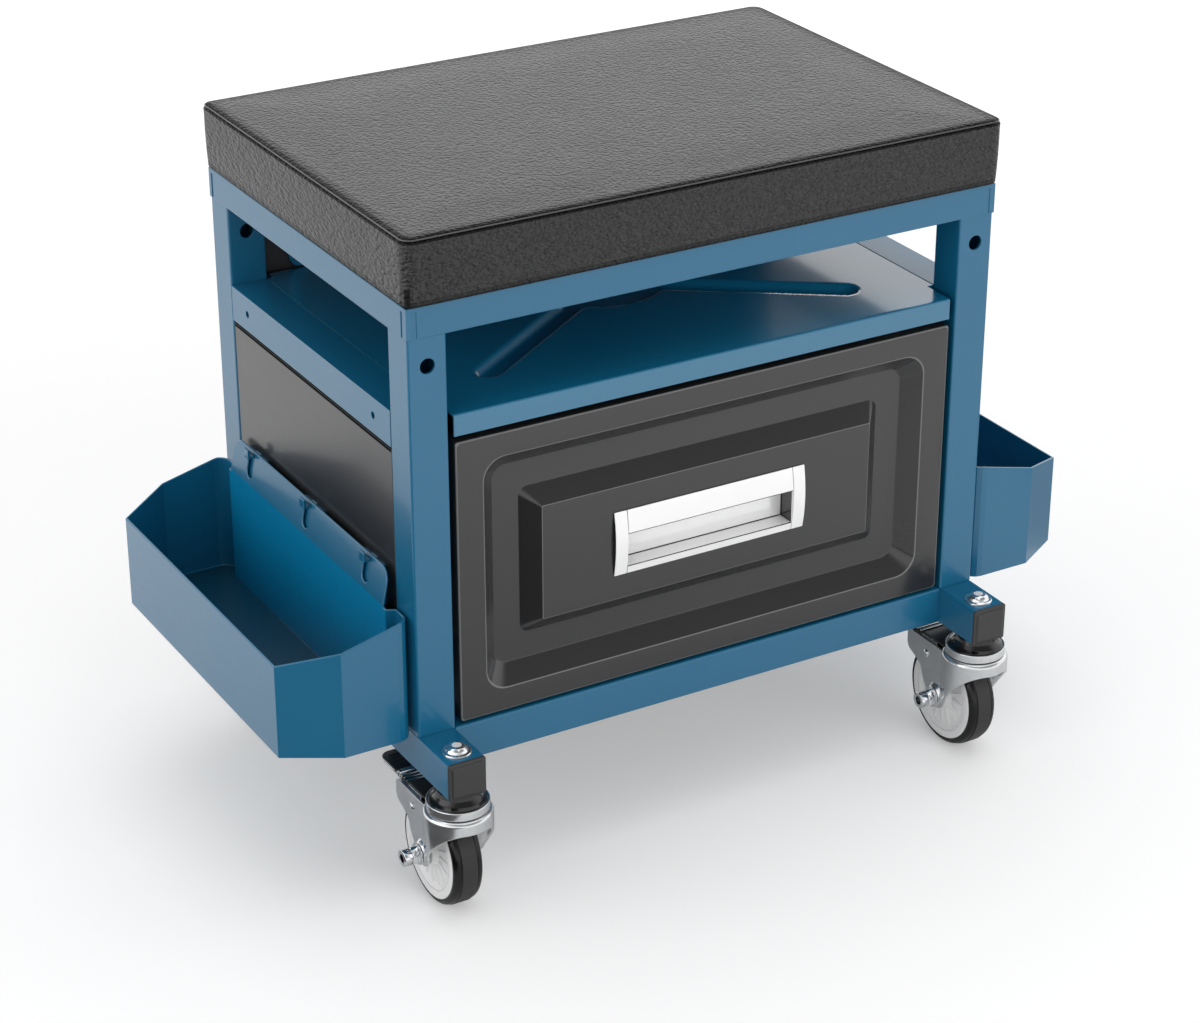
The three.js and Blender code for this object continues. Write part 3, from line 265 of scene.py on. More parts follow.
def prism(name, outline, axis, low, high):
    """A flat outline pushed along an axis."""
    place = PLACE_ALONG[axis]
    return skin(name, [[place(u, v, w) for u, v in outline] for w in (low, high)])


def lathed(name, profile, steps=64, axis="z"):
    """A turned form from (radius, height) points; a point of no radius closes a pole."""
    points, rows = [], []
    for radius, height in profile:
        if radius < 1e-6:
            rows.append([len(points)] * steps)
            points.append((0, 0, height))
            continue
        rows.append([len(points) + i for i in range(steps)])
        points += [(x, y, height) for x, y in circle(radius, steps)]
    faces = []
    for lower, upper in zip(rows, rows[1:]):
        for i in range(steps):
            k = (i + 1) % steps
            corners = tuple(dict.fromkeys((lower[i], lower[k], upper[k], upper[i])))
            if len(corners) > 2:
                faces.append(corners)
    if axis == "x":
        points = [(z, x, y) for x, y, z in points]
    return made_solid(piece_from(name, points, faces))


def filleted(corners, steps=5):
    """A polyline whose corners (u, v, radius) are turned on an arc."""
    count = len(corners)
    path = []
    for i, (u, v, radius) in enumerate(corners):
        here = Vector((u, v))
        if radius <= 0 or i in (0, count - 1):
            path.append((u, v))
            continue
        before = Vector(corners[i - 1][:2])
        after = Vector(corners[i + 1][:2])
        arm_in, arm_out = (before - here), (after - here)
        half = arm_in.angle(arm_out) / 2
        if half > math.radians(89.5):
            path.append((u, v))
            continue
        cut_back = min(radius / math.tan(half), arm_in.length * 0.49, arm_out.length * 0.49)
        size = cut_back * math.tan(half)
        bisector = (arm_in.normalized() + arm_out.normalized()).normalized()
        centre = here + bisector * (size / math.sin(half))
        start = here + arm_in.normalized() * cut_back - centre
        end = here + arm_out.normalized() * cut_back - centre
        turn = math.atan2(start.x * end.y - start.y * end.x, start.dot(end))
        for k in range(steps + 1):
            angle = turn * k / steps
            path.append((centre.x + start.x * math.cos(angle) - start.y * math.sin(angle),
                         centre.y + start.x * math.sin(angle) + start.y * math.cos(angle)))
    return path


def turned(name, profile, arc, steps, axis="x"):
    """A turned form from (radius, height, fillet) corners, with arc steps on each fillet."""
    return lathed(name, filleted(profile, steps=arc), steps, axis)


# ------------------------------------------------------------------ shader helpers


def feed(socket, value):
    """Links a socket to another one, or gives it a plain value."""
    if isinstance(value, bpy.types.NodeSocket):
        socket.id_data.links.new(value, socket)
    else:
        socket.default_value = value


def shade(tree, kind, inputs=None, **settings):
    """The outputs of a new node with its settings, and its inputs given as values or as sockets to link."""
    made = tree.nodes.new(kind)
    for key, value in settings.items():
        setattr(made, key, value)
    for key, value in (inputs or {}).items():
        feed(made.inputs[key], value)
    return made.outputs


def sum_of(tree, first, second, operation="ADD"):
    return shade(tree, "ShaderNodeMath", {0: first, 1: second}, operation=operation)[0]


def product(tree, first, second):
    return sum_of(tree, first, second, "MULTIPLY")


def vectors(tree, operation, inputs):
    return shade(tree, "ShaderNodeVectorMath", inputs, operation=operation)


def mixed(tree, share, first, second):
    """A colour between two colours."""
    return shade(tree, "ShaderNodeMix", {0: share, 6: first, 7: second}, data_type="RGBA")[2]


def ranged(tree, value, low, high, to_low=0.0, to_high=1.0, smooth=True):
    return shade(tree, "ShaderNodeMapRange", {0: value, 1: low, 2: high, 3: to_low, 4: to_high},
                interpolation_type="SMOOTHSTEP" if smooth else "LINEAR")[0]


def object_place(tree):
    return shade(tree, "ShaderNodeTexCoord")["Object"]


def noise(tree, place, scale, detail, **more):
    return shade(tree, "ShaderNodeTexNoise", {"Vector": place, "Scale": scale, "Detail": detail, **more})["Fac"]


def stretched(tree, place, scale, **more):
    return shade(tree, "ShaderNodeMapping", {"Vector": place, "Scale": scale, **more})[0]


def linear(red, green, blue):
    """A screen colour of 0 to 255 as the linear colour that a shader takes."""
    parts = []
    for part in (red, green, blue):
        share = part / 255
        parts.append(share / 12.92 if share <= 0.04045 else ((share + 0.055) / 1.055) ** 2.4)
    return (*parts, 1)


def node_group(name, kind, given, made):
    """An empty node group, the sockets that bring its inputs, and the sockets that take its results.

    The inputs are a row of (label, socket kind) with a start value where it matters.
    """
    tree = bpy.data.node_groups.new(name, kind + "NodeTree")
    for label, socket_kind, *start in given:
        socket = tree.interface.new_socket(label, in_out="INPUT", socket_type="NodeSocket" + socket_kind)
        if start:
            socket.default_value = start[0]
    for label, socket_kind in made:
        tree.interface.new_socket(label, in_out="OUTPUT", socket_type="NodeSocket" + socket_kind)
    return tree, tree.nodes.new("NodeGroupInput").outputs, tree.nodes.new("NodeGroupOutput").inputs


def fine_grain():
    """The pebbled skin of a sprayed coat or a moulding: a height, and a mask of its hollows."""
    tree, given, result = node_group(
        "fine_grain", "Shader", [("Scale", "Float", 900.0), ("Softness", "Float", 0.5)],
        [("Height", "Float"), ("Hollows", "Float")])
    place = object_place(tree)
    small = noise(tree, place, given["Scale"], 2.0, Roughness=given["Softness"])
    large = noise(tree, place, product(tree, given["Scale"], 0.22), 1.0)
    feed(result["Height"], sum_of(tree, small, product(tree, large, 0.6)))
    feed(result["Hollows"], ranged(tree, small, 0.5, 0.32))
    return tree


def drift():
    """A slow change of a colour over the surface, as coats and mouldings have."""
    tree, given, result = node_group(
        "drift", "Shader", [("Color", "Color", (0.5, 0.5, 0.5, 1)), ("Amount", "Float", 0.1), ("Scale", "Float", 12.0)],
        [("Color", "Color")])
    value = ranged(tree, noise(tree, object_place(tree), given["Scale"], 3.0), 0.3, 0.7, -1.0, 1.0)
    gain = sum_of(tree, product(tree, value, given["Amount"]), 1.0)
    feed(result["Color"], shade(tree, "ShaderNodeHueSaturation", {"Color": given["Color"], "Value": gain})[0])
    return tree


def handling():
    """Faint rubbed streaks and clouds that change the gloss where hands and boots go."""
    tree, given, result = node_group(
        "handling", "Shader", [("Roughness", "Float", 0.4), ("Amount", "Float", 0.08)], [("Roughness", "Float")])
    place = object_place(tree)
    streaks = noise(tree, stretched(tree, place, (30.0, 34.0, 240.0), Rotation=(0.5, 0.3, 0.8)), 1.0, 4.0)
    clouds = noise(tree, place, 18.0, 2.0)
    spread = sum_of(tree, *(ranged(tree, part, 0.35, 0.65, -1.0, 1.0) for part in (streaks, clouds)))
    feed(result["Roughness"], sum_of(tree, given["Roughness"], product(tree, spread, given["Amount"])))
    return tree


GRAIN, DRIFT, HANDLING = fine_grain(), drift(), handling()


def new_material(name, **inputs):
    """A material, its node tree and its shader's inputs, some of them given."""
    material = bpy.data.materials.new(name)
    material.use_nodes = True
    tree = material.node_tree
    shader = tree.nodes["Principled BSDF"].inputs
    for key, value in inputs.items():
        shader[key.replace("_", " ")].default_value = value
    return material, tree, shader


def grouped(tree, group, **inputs):
    return shade(tree, "ShaderNodeGroup", inputs, node_tree=group)


def bumped(tree, shader, height, depth):
    bump = shade(tree, "ShaderNodeBump", {"Height": height, "Strength": 1.0, "Distance": depth * MM})
    feed(shader["Normal"], bump["Normal"])


def rubbed(tree, shader, roughness, amount):
    feed(shader["Roughness"], grouped(tree, HANDLING, Roughness=roughness, Amount=amount)["Roughness"])


def coated(name, colour, roughness, grain=900.0, depth=0.01, variety=0.05, wear=0.05, coat=0.0,
           coat_roughness=0.2, metallic=0.0, hollows=0.85, specular=0.5):
    """A sprayed, plated or moulded finish: grain, slow colour change and rubbed gloss."""
    material, tree, shader = new_material(name, Metallic=metallic, Coat_Weight=coat, Coat_Roughness=coat_roughness,
                                          Specular_IOR_Level=specular)
    tint = grouped(tree, DRIFT, Color=linear(*colour), Amount=variety, Scale=14.0)["Color"]
    grain_of = grouped(tree, GRAIN, Scale=grain)
    darker = shade(tree, "ShaderNodeHueSaturation", {"Color": tint, "Value": hollows})[0]
    feed(shader["Base Color"], mixed(tree, grain_of["Hollows"], tint, darker))
    rubbed(tree, shader, roughness, wear)
    bumped(tree, shader, grain_of["Height"], depth)
    return material


TOP_CELLS, SIDE_CELLS, SIDE_FOLDS, PORES = 560.0, 540.0, 210.0, 1900.0    # scales of the cover's grain


def leatherette(name, tone, roughness, specular):
    """The cushion's cover: pebbled cells with finer pores, pulled longer down the sides."""
    material, tree, shader = new_material(name, Specular_IOR_Level=specular, Sheen_Weight=0.05, Sheen_Roughness=0.45)
    place = object_place(tree)
    facing = shade(tree, "ShaderNodeSeparateXYZ", {"Vector": shade(tree, "ShaderNodeNewGeometry")["Normal"]})
    flat_share = ranged(tree, shade(tree, "ShaderNodeMath", {0: facing["Z"]}, operation="ABSOLUTE")[0], 0.45, 0.8)
    warp = shade(tree, "ShaderNodeTexNoise", {"Vector": place, "Scale": 160.0, "Detail": 2.0})["Color"]
    bent = vectors(tree, "ADD", {0: place, 1: vectors(tree, "SCALE", {0: warp, 3: 0.0022})[0]})[0]
    long_way = stretched(tree, bent, (0.85, 0.6, 1.35))
    on_top, on_side = (
        shade(tree, "ShaderNodeTexVoronoi", {"Vector": way, "Scale": scale, "Randomness": 1.0},
              feature="SMOOTH_F1")["Distance"]
        for way, scale in ((bent, TOP_CELLS), (long_way, SIDE_CELLS)))
    folds = noise(tree, long_way, SIDE_FOLDS, 3.0, Distortion=0.6)
    pores = noise(tree, place, PORES, 1.0)
    side_height = sum_of(tree, product(tree, on_side, -0.95), product(tree, folds, 0.6))
    blend = shade(tree, "ShaderNodeMix", {0: flat_share, 2: side_height, 3: product(tree, on_top, -1.0)})[0]
    valley = ranged(tree, on_top, 0.35, 0.6)
    tint = grouped(tree, DRIFT, Color=linear(*tone), Amount=0.03, Scale=22.0)["Color"]
    feed(shader["Base Color"], mixed(tree, product(tree, valley, 0.8), tint, linear(8, 8, 9)))
    rubbed(tree, shader, roughness, 0.01)
    bumped(tree, shader, sum_of(tree, blend, product(tree, pores, 0.18)), 1.7)
    return material


def plywood():
    """A board of thin plies: they show on the cut edges, and a long figure on the faces."""
    material, tree, shader = new_material("board_plywood", Roughness=0.75)
    place = object_place(tree)
    plies = shade(tree, "ShaderNodeTexWave", {"Vector": place, "Scale": 110.0, "Distortion": 0.4, "Detail": 2.0},
                  bands_direction="Z")["Fac"]
    figure = noise(tree, stretched(tree, place, (9.0, 190.0, 190.0)), 1.0, 5.0)
    wood = mixed(tree, figure, linear(190, 150, 102), linear(150, 110, 68))
    feed(shader["Base Color"], mixed(tree, product(tree, plies, 0.35), wood, linear(112, 78, 46)))
    bumped(tree, shader, figure, 0.08)
    return material


def galvanised():
    """Bright zinc plate on pressed steel: faint spangle, drawing lines and a few dull patches."""
    material, tree, shader = new_material("caster_zinc", Metallic=0.92)
    place = object_place(tree)
    crystals = shade(tree, "ShaderNodeTexVoronoi", {"Vector": place, "Scale": 420.0})["Color"]
    lines = noise(tree, stretched(tree, place, (260.0, 260.0, 1500.0)), 1.0, 2.0)
    tint = grouped(tree, DRIFT, Color=linear(216, 218, 220), Amount=0.04, Scale=60.0)["Color"]
    spangle = shade(tree, "ShaderNodeSeparateColor", {"Color": crystals})[0]
    tone = sum_of(tree, ranged(tree, spangle, 0.0, 1.0, -0.035, 0.035, smooth=False), 1.0)
    feed(shader["Base Color"], shade(tree, "ShaderNodeHueSaturation", {"Color": tint, "Value": tone})[0])
    rubbed(tree, shader, 0.19, 0.03)
    bumped(tree, shader, lines, 0.02)
    return material


POWDER = dict(grain=760.0, depth=0.008, wear=0.012)
BLACK_COAT = dict(grain=820.0, depth=0.006, variety=0.02, wear=0.01, coat=0.3, coat_roughness=0.12, hollows=0.95)
GRAPHITE_COAT = dict(grain=1100.0, depth=0.0035, variety=0.02, wear=0.008, coat=0.4, coat_roughness=0.12, hollows=0.95)

PAINT = coated("frame_powder_coat", (18, 102, 139), 0.3, variety=0.015, coat=0.4, coat_roughness=0.1, hollows=0.97,
               **POWDER)
SHELF_PAINT = coated("shelf_powder_coat", (18, 108, 145), 0.26, depth=0.003, variety=0.015, wear=0.006, coat=1.0,
                     coat_roughness=0.1, hollows=0.97)
PANEL_BLACK = coated("panel_black_coat", (34, 35, 36), 0.3, **BLACK_COAT)
# painted highlight: a lighter grey for the narrow bands on the drawer front's folds
FOLD_PAINTED_HIGHLIGHT = coated("drawer_fold_painted_highlight", (104, 104, 104), 0.22, **GRAPHITE_COAT)
# painted light: a brighter, more saturated copy of the frame's blue for the tray's inner back wall
TRAY_BACK_PAINTED_LIGHT = coated("tray_back_painted_light", (8, 130, 178), 0.34, variety=0.015, specular=0.3, **POWDER)
# painted shade: a darker copy of the frame's blue for the tray's inner floor
TRAY_FLOOR_PAINTED_SHADE = coated("tray_floor_painted_shade", (8, 66, 90), 0.34, grain=760.0, depth=0.008, variety=0.02, wear=0.02,
                    hollows=0.97)
# painted highlight: a lighter blue for the shelf sheet's side edges, standing in for a thin line of light
SHEET_EDGE_PAINTED_HIGHLIGHT = coated("blue_sheet_edge_painted_highlight", (62, 134, 164), 0.3, depth=0.003, variety=0.02, wear=0.01)
# painted light: the black panel coat made lighter for the rear panel, which stands in shade
REAR_PANEL_PAINTED_LIGHT = coated("rear_panel_painted_light", (58, 56, 56), 0.3, **BLACK_COAT)
GRAPHITE = coated("drawer_graphite_coat", (38, 38, 39), 0.22, **GRAPHITE_COAT)
PLUG_PLASTIC = coated("plug_plastic", (50, 50, 50), 0.42, grain=1300.0, depth=0.012, variety=0.03, wear=0.02)
RUBBER = coated("tyre_side_rubber", (8, 8, 9), 0.22, grain=1500.0, depth=0.002, wear=0.02, specular=0.35)
TREAD = coated("tyre_tread_rubber", (48, 48, 49), 0.5, grain=1500.0, variety=0.04, wear=0.03, specular=0.4)
PEDAL_BLACK = coated("pedal_black_coat", (34, 34, 35), 0.4, grain=1200.0, depth=0.02, variety=0.08)
# the seal's own black plastic; it also serves as painted shade in the bolt end's hollow
SEAL_BLACK_AND_PAINTED_SHADE = coated("seal_black_plastic_and_painted_shade", (12, 12, 13), 0.16, grain=1400.0, depth=0.002, variety=0.03, wear=0.01)
# painted shade: near black for the gap under the side rail
GAP_PAINTED_SHADE = coated("panel_gap_painted_shade", (7, 7, 8), 0.8, grain=1400.0, depth=0.002, variety=0.03, specular=0.08)
NYLON = coated("hub_nylon", (244, 244, 244), 0.34, grain=1500.0, depth=0.012, variety=0.015, wear=0.03, hollows=0.985)
CHROME = coated("nut_chrome", (224, 226, 228), 0.07, grain=1500.0, depth=0.002, variety=0.01, wear=0.01, metallic=1.0,
                hollows=0.99)
# the handle's own bright metal; it also serves as a painted highlight on the cap nut's top
BRIGHT_METAL_AND_HIGHLIGHT = coated("handle_polished_metal_and_painted_highlight", (250, 250, 250), 0.09, grain=1400.0, depth=0.0015, variety=0.005, wear=0.008,
                metallic=0.2, hollows=0.995)
# painted shade and reflection: a dark grey for the handle's creases and the end caps' faces
HANDLE_PAINTED_SHADE = coated("handle_painted_shade", (38, 38, 39), 0.22, grain=1400.0, depth=0.006, wear=0.04, coat=0.4,
                     coat_roughness=0.12)
ZINC = galvanised()
COVER = leatherette("cushion_leatherette", (24, 24, 25), 0.32, 0.6)
# painted shade: darker, duller copies of the cover for bands by the seams and the hem
COVER_HALF_SHADE = leatherette("cushion_painted_half_shade", (20, 20, 21), 0.38, 0.38)
COVER_DEEP_SHADE = leatherette("cushion_painted_deep_shade", (12, 12, 13), 0.45, 0.16)
# painted highlight: the piping is a lighter grey and glossier than the cover, so it shows as a bright line
PIPING_PAINTED_HIGHLIGHT = coated("cushion_piping_painted_highlight", (46, 46, 46), 0.24, grain=1400.0, depth=0.012, specular=0.9)
BOARD = plywood()

SLOT_OF = {
    PAINT: "frame_blue", SHELF_PAINT: "frame_blue", PANEL_BLACK: "panel_black", REAR_PANEL_PAINTED_LIGHT: "panel_black",
    PLUG_PLASTIC: "plug_black", ZINC: "zinc", PIPING_PAINTED_HIGHLIGHT: "cushion_cover", BOARD: "board_wood",
}


def carried(piece, *nodes, body=None, slot=None):
    """Gives a piece its place on a body, and lets it stand for CAD nodes."""
    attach(piece, body or frame["nodes"][nodes[0]]["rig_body"])
    if nodes:
        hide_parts(*nodes)
    return piece


def tinted(piece, *materials):
    for material in materials:
        piece.data.materials.append(material)
    return piece


def finished(piece, material, *nodes, body=None):
    """Gives a piece its finish and its place on a body."""
    piece.data.materials.clear()
    return carried(tinted(piece, material), *nodes, body=body, slot=SLOT_OF[material])


def dressed(name, material, width=0.5):
    """A CAD solid with its folds and cut edges rounded as the real sheet's are."""
    mesh = bpy.data.meshes.new(name + "_dressed")
    with edited(mesh) as form:
        form.from_mesh(frame["nodes"][name].data)
        bmesh.ops.remove_doubles(form, verts=form.verts, dist=0.004 * MM)
    return finished(flattened(softened(object_of(name + "_dressed", mesh), width)), material, name)


# ------------------------------------------------------------------ frame of square tube

HALF_WIDTH, HALF_DEPTH, TUBE, WALL = 180, 120, 22, 1.5
SKID_BOTTOM, SKID_TOP, POST_TOP, SHELF_TOP = 78, 100, 343, 281
SKID_Z, SKID_HALF, RAIL_HALF = 89, 152.5, 158
TUBE_X, TUBE_Y, STEM_Y = HALF_WIDTH - TUBE / 2, HALF_DEPTH - TUBE / 2, 142
POST_HOLE_Z, POST_HOLE_R, STEM_HOLE_R = 311.5, 4.25, 5.3


def square_tube(name, axis, low, high, centre, radius=1.3, chamfer=0.25):
    """A welded square tube with sawn ends, slightly broken at their edges."""
    def ring(half, turn, w):
        return [PLACE_ALONG[axis](u, v, w) for u, v in rounded_rectangle(half, half, turn, 6, centre)]

    outer, inner = TUBE / 2, TUBE / 2 - WALL
    rings = [
        ring(outer - chamfer, radius - chamfer, low), ring(outer, radius, low + chamfer),
        ring(outer, radius, high - chamfer), ring(outer - chamfer, radius - chamfer, high),
        ring(inner, radius - WALL * 0.6, high), ring(inner, radius - WALL * 0.6, low),
    ]
    return skin(name, rings, looping=True)


def drill_bit(radius, axis, low, high, centre, steps=48):
    return prism("drill_bit", circle(radius, steps, centre), axis, low, high)


def painted_tube(name, tube, *bits):
    if bits:
        cut(tube, *bits)
    finished(flattened(smoothed(tube, 30)), PAINT, name)


for corner, side_sign, end_sign in CORNERS:
    reach = sorted((end_sign * (HALF_DEPTH - TUBE - 2), end_sign * (HALF_DEPTH + 2)))
    painted_tube(f"{corner}_post",
                 square_tube(f"{corner}_post_tube", "z", SKID_TOP, POST_TOP, (side_sign * TUBE_X, end_sign * TUBE_Y)),
                 drill_bit(POST_HOLE_R, "y", *reach, (side_sign * TUBE_X, POST_HOLE_Z)))

for side, side_sign in SIDES:
    painted_tube(f"{side}_skid",
                 square_tube(f"{side}_skid_tube", "y", -SKID_HALF, SKID_HALF, (side_sign * TUBE_X, SKID_Z)),
                 *[drill_bit(STEM_HOLE_R, "z", SKID_BOTTOM - 2, SKID_TOP + 2, (side_sign * TUBE_X, sign * STEM_Y))
                   for sign in (-1, 1)])

for end, end_sign in ENDS:
    painted_tube(f"{end}_bottom_rail",
                 square_tube(f"{end}_bottom_rail_tube", "x", -RAIL_HALF, RAIL_HALF, (end_sign * TUBE_Y, SKID_Z)))

FLANGE_SHARE = 0.35    # how much of the seat pan's flange thickness shows outside the posts
PANEL_FACE, HOOK_PITCH = 179.4, 73.5
HOOK_REST, HOOK_REST_HALF = [(0, 164), (5.8, 166.5), (5.8, 171), (2.4, 187.5), (0, 187.5)], 12
# a strip of painted shade under the side panel's top fold
SHADE_STRIP_PROUD, SHADE_STRIP_LOW, SHADE_STRIP_HIGH = 0.25, 1.8, 0.3    # the dark strip under the side panel's top fold
TRAY_FLOOR_TOP, TRAY_BACK_TOP, TRAY_BACK_X = 103, 171, 192


def hooked_panel(side, side_sign):
    """The side panel with the rests behind the tray's hooks, and a strip of painted shade under its top fold where it
    meets the rail.
    """
    panel = dressed(f"{side}_side_panel", PANEL_BLACK, 0.45)
    top, long = (max(corner.co[axis] for corner in panel.data.vertices) / MM for axis in (2, 1))

    def outward(outline):
        return [(side_sign * (PANEL_FACE + out), z) for out, z in outline]

    pads = [prism("hook_rest", outward(HOOK_REST), "y", y - HOOK_REST_HALF, y + HOOK_REST_HALF)
            for y in (-HOOK_PITCH, 0, HOOK_PITCH)]
    pads.append(prism("panel_shade_strip", outward([(0, top - SHADE_STRIP_LOW), (SHADE_STRIP_PROUD, top - SHADE_STRIP_LOW),
                                             (SHADE_STRIP_PROUD, top - SHADE_STRIP_HIGH), (0, top - SHADE_STRIP_HIGH)]),
                      "y", -long + 0.8, long - 0.8))
    with edited(panel.data) as form:
        for pad in pads:
            form.from_mesh(pad.data)
    for pad in pads:
        discard(pad)
    for face in tinted(panel, PAINT, GAP_PAINTED_SHADE).data.polygons:
        x, z = abs(face.center.x) / MM, face.center.z / MM
        # painted shade: the panel's top and the strip under its fold are painted near black
        seal = z > top - 0.25 and face.normal.z > 0.2 or z > top - 2 and x > PANEL_FACE + 0.12
        face.material_index = 2 if seal else 1 if x > PANEL_FACE + 0.15 else 0


for name in ("left_shelf_rail", "right_shelf_rail"):
    dressed(name, PAINT)
pan = dressed("seat_pan", PAINT)
for corner in pan.data.vertices:
    for axis, half in ((0, HALF_WIDTH), (1, HALF_DEPTH)):
        proud = abs(corner.co[axis]) / MM - half
        if proud > 0:
            corner.co[axis] = math.copysign(half + proud * FLANGE_SHARE, corner.co[axis]) * MM
dressed("seat_board", BOARD, 0.4)
for side, side_sign in SIDES:
    hooked_panel(side, side_sign)
    for face in tinted(dressed(f"{side}_tray", PAINT), TRAY_FLOOR_PAINTED_SHADE, TRAY_BACK_PAINTED_LIGHT).data.polygons:
        x, z, area = abs(face.center.x) / MM, face.center.z / MM, face.area / MM / MM
        # painted shade: the tray's inner floor gets the darker blue
        inside = z < TRAY_FLOOR_TOP and face.normal.z > 0.9 and area > 60
        # painted light: the tray's inner back wall gets the brighter blue
        back = z < TRAY_BACK_TOP and x < TRAY_BACK_X and face.normal.x * side_sign > 0.95 and area > 600
        face.material_index = 1 if inside else 2 if back else 0
    dressed(f"{side}_cabinet_runner", ZINC, 0.3)
    dressed(f"{side}_drawer_runner", ZINC, 0.3)
# the rear panel takes the lightened black coat as painted light
dressed("rear_panel", REAR_PANEL_PAINTED_LIGHT)
dressed("rear_panel_frame", SHELF_PAINT, 0.7)
dressed("drawer_box", PANEL_BLACK, 0.4)

# End plugs: a bevelled cap with a shallow dished face, as rings of (half size, corner, distance from the middle)
PLUG_RINGS = [
    (8.7, 0.6, 147.9), (9.2, 0.8, 148.4), (9.2, 0.8, 152.5), (10.95, 1.2, 152.5), (11, 1.2, 152.7), (11, 1.2, 153.5),
    (10.75, 1.1, 153.85), (10.3, 1.0, 153.95), (9.7, 0.9, 153.95), (9.45, 0.8, 154.1), (9.0, 0.8, 154.8),
    (8.7, 0.7, 154.95), (8.2, 0.7, 155.0), (3.0, 0.5, 155.0),
]
for corner, side_sign, end_sign in CORNERS:
    plug = skin(f"{corner}_end_plug_cap", [
        [(x, end_sign * y, z) for x, z in rounded_rectangle(half, half, turn, 6, (side_sign * TUBE_X, SKID_Z))]
        for half, turn, y in PLUG_RINGS])
    finished(flattened(smoothed(plug, 50)), PLUG_PLASTIC, f"{corner}_end_plug")

# ------------------------------------------------------------------ seat cushion

CUSHION_HALF_X, CUSHION_HALF_Y, CUSHION_BOTTOM, CUSHION_TOP = 182.4, 123.8, 344.6, 381.4
CUSHION_TURN, INNER_TURN = 7.0, 2.0    # corner radii of the cover's outline, at its edge and within its top
SEAM_DRAW, SEAM_Z, SEAM_RING = 1.2, CUSHION_TOP - 1.0, 22
COVER_PITCH, FOAM_PITCH, CROWN_RISE = 3.2, 12.0, 0.7
SIDE_TOP, RIM_REACH, FIRM_RIM = CUSHION_TOP - 3.4, 4.0, 45    # where the foam begins to move the cover
PIPING_RADIUS, PIPING_SIDES = 0.4, 10
RECESS_HALF_X, RECESS_HALF_Y, RECESS_TURN, RECESS_TOP = 175.3, 115.3, 9, 353.6
# how far the seams' two tones of painted shade reach: below the top seam, above the hem, and in from the rim
DEEP_SHADE_REACH, HALF_SHADE_REACH = (2.6, 1.9, 4.6), (3.4, 3.2, 8.4)


def spread_along(ring, pitch):
    """The ring's corners with its long sides divided, so that the sides can bend."""
    points = []
    for i, point in enumerate(ring):
        after = ring[(i + 1) % len(ring)]
        steps = max(1, round(math.dist(point, after) / pitch))
        points.extend((point[0] + (after[0] - point[0]) * k / steps,
                       point[1] + (after[1] - point[1]) * k / steps) for k in range(steps))
    return points


def cushion_rings(pitch, seam):
    """The sewn cover from its turned-under hem, up the side and over the top seam to the crown."""
    length_x, length_y = CUSHION_HALF_X - CUSHION_TURN, CUSHION_HALF_Y - CUSHION_TURN
    base = spread_along(rounded_rectangle(CUSHION_HALF_X, CUSHION_HALF_Y, CUSHION_TURN, 6), pitch)

    def ring(draw, z):
        placed = []
        for x, y in base:
            near_x, near_y = max(-length_x, min(length_x, x)), max(-length_y, min(length_y, y))
            near, out = Vector((near_x, near_y)), Vector((x - near_x, y - near_y)).normalized()
            if draw <= CUSHION_TURN - INNER_TURN:
                moved = near + out * (CUSHION_TURN - draw)
            else:
                inner = near + out * INNER_TURN
                moved = Vector((inner.x * (CUSHION_HALF_X - draw) / (length_x + INNER_TURN),
                                inner.y * (CUSHION_HALF_Y - draw) / (length_y + INNER_TURN)))
            placed.append((moved.x, moved.y, z))
        return placed

    low, top = CUSHION_BOTTOM, CUSHION_TOP
    side_low, side_high, side_steps = low + 1.4, top - 5.0, 14
    rings = [ring(5.0, low), ring(2.6, low), ring(1.7, low + 0.25), ring(1.3, low + 0.7), ring(1.1, side_low)]
    for k in range(1, side_steps + 1):
        share = k / side_steps
        rings.append(ring(1.1 - 0.8 * share - 0.3 * math.sin(math.pi * share),
                          side_low + (side_high - side_low) * share))
    if seam:
        rings += [ring(0.2, top - 2.9), ring(0.5, top - 2.3), ring(1.9, top - 1.8), ring(SEAM_DRAW, SEAM_Z),
                  ring(1.9, top - 1.3), ring(2.2, top - 1.0), ring(2.7, top - 0.3), ring(4.4, top)]
    else:
        rings += [ring(0.6, top - 3.0), ring(1.7, top - 1.2), ring(3.2, top - 0.3)]
    steps = 34 if seam else 16
    for k in range(1, steps + 1):
        share = k / steps
        rings.append(ring(4.4 + (CUSHION_HALF_Y - 8.8) * share, top + CROWN_RISE * math.sin(share * math.pi / 2)))
    return rings


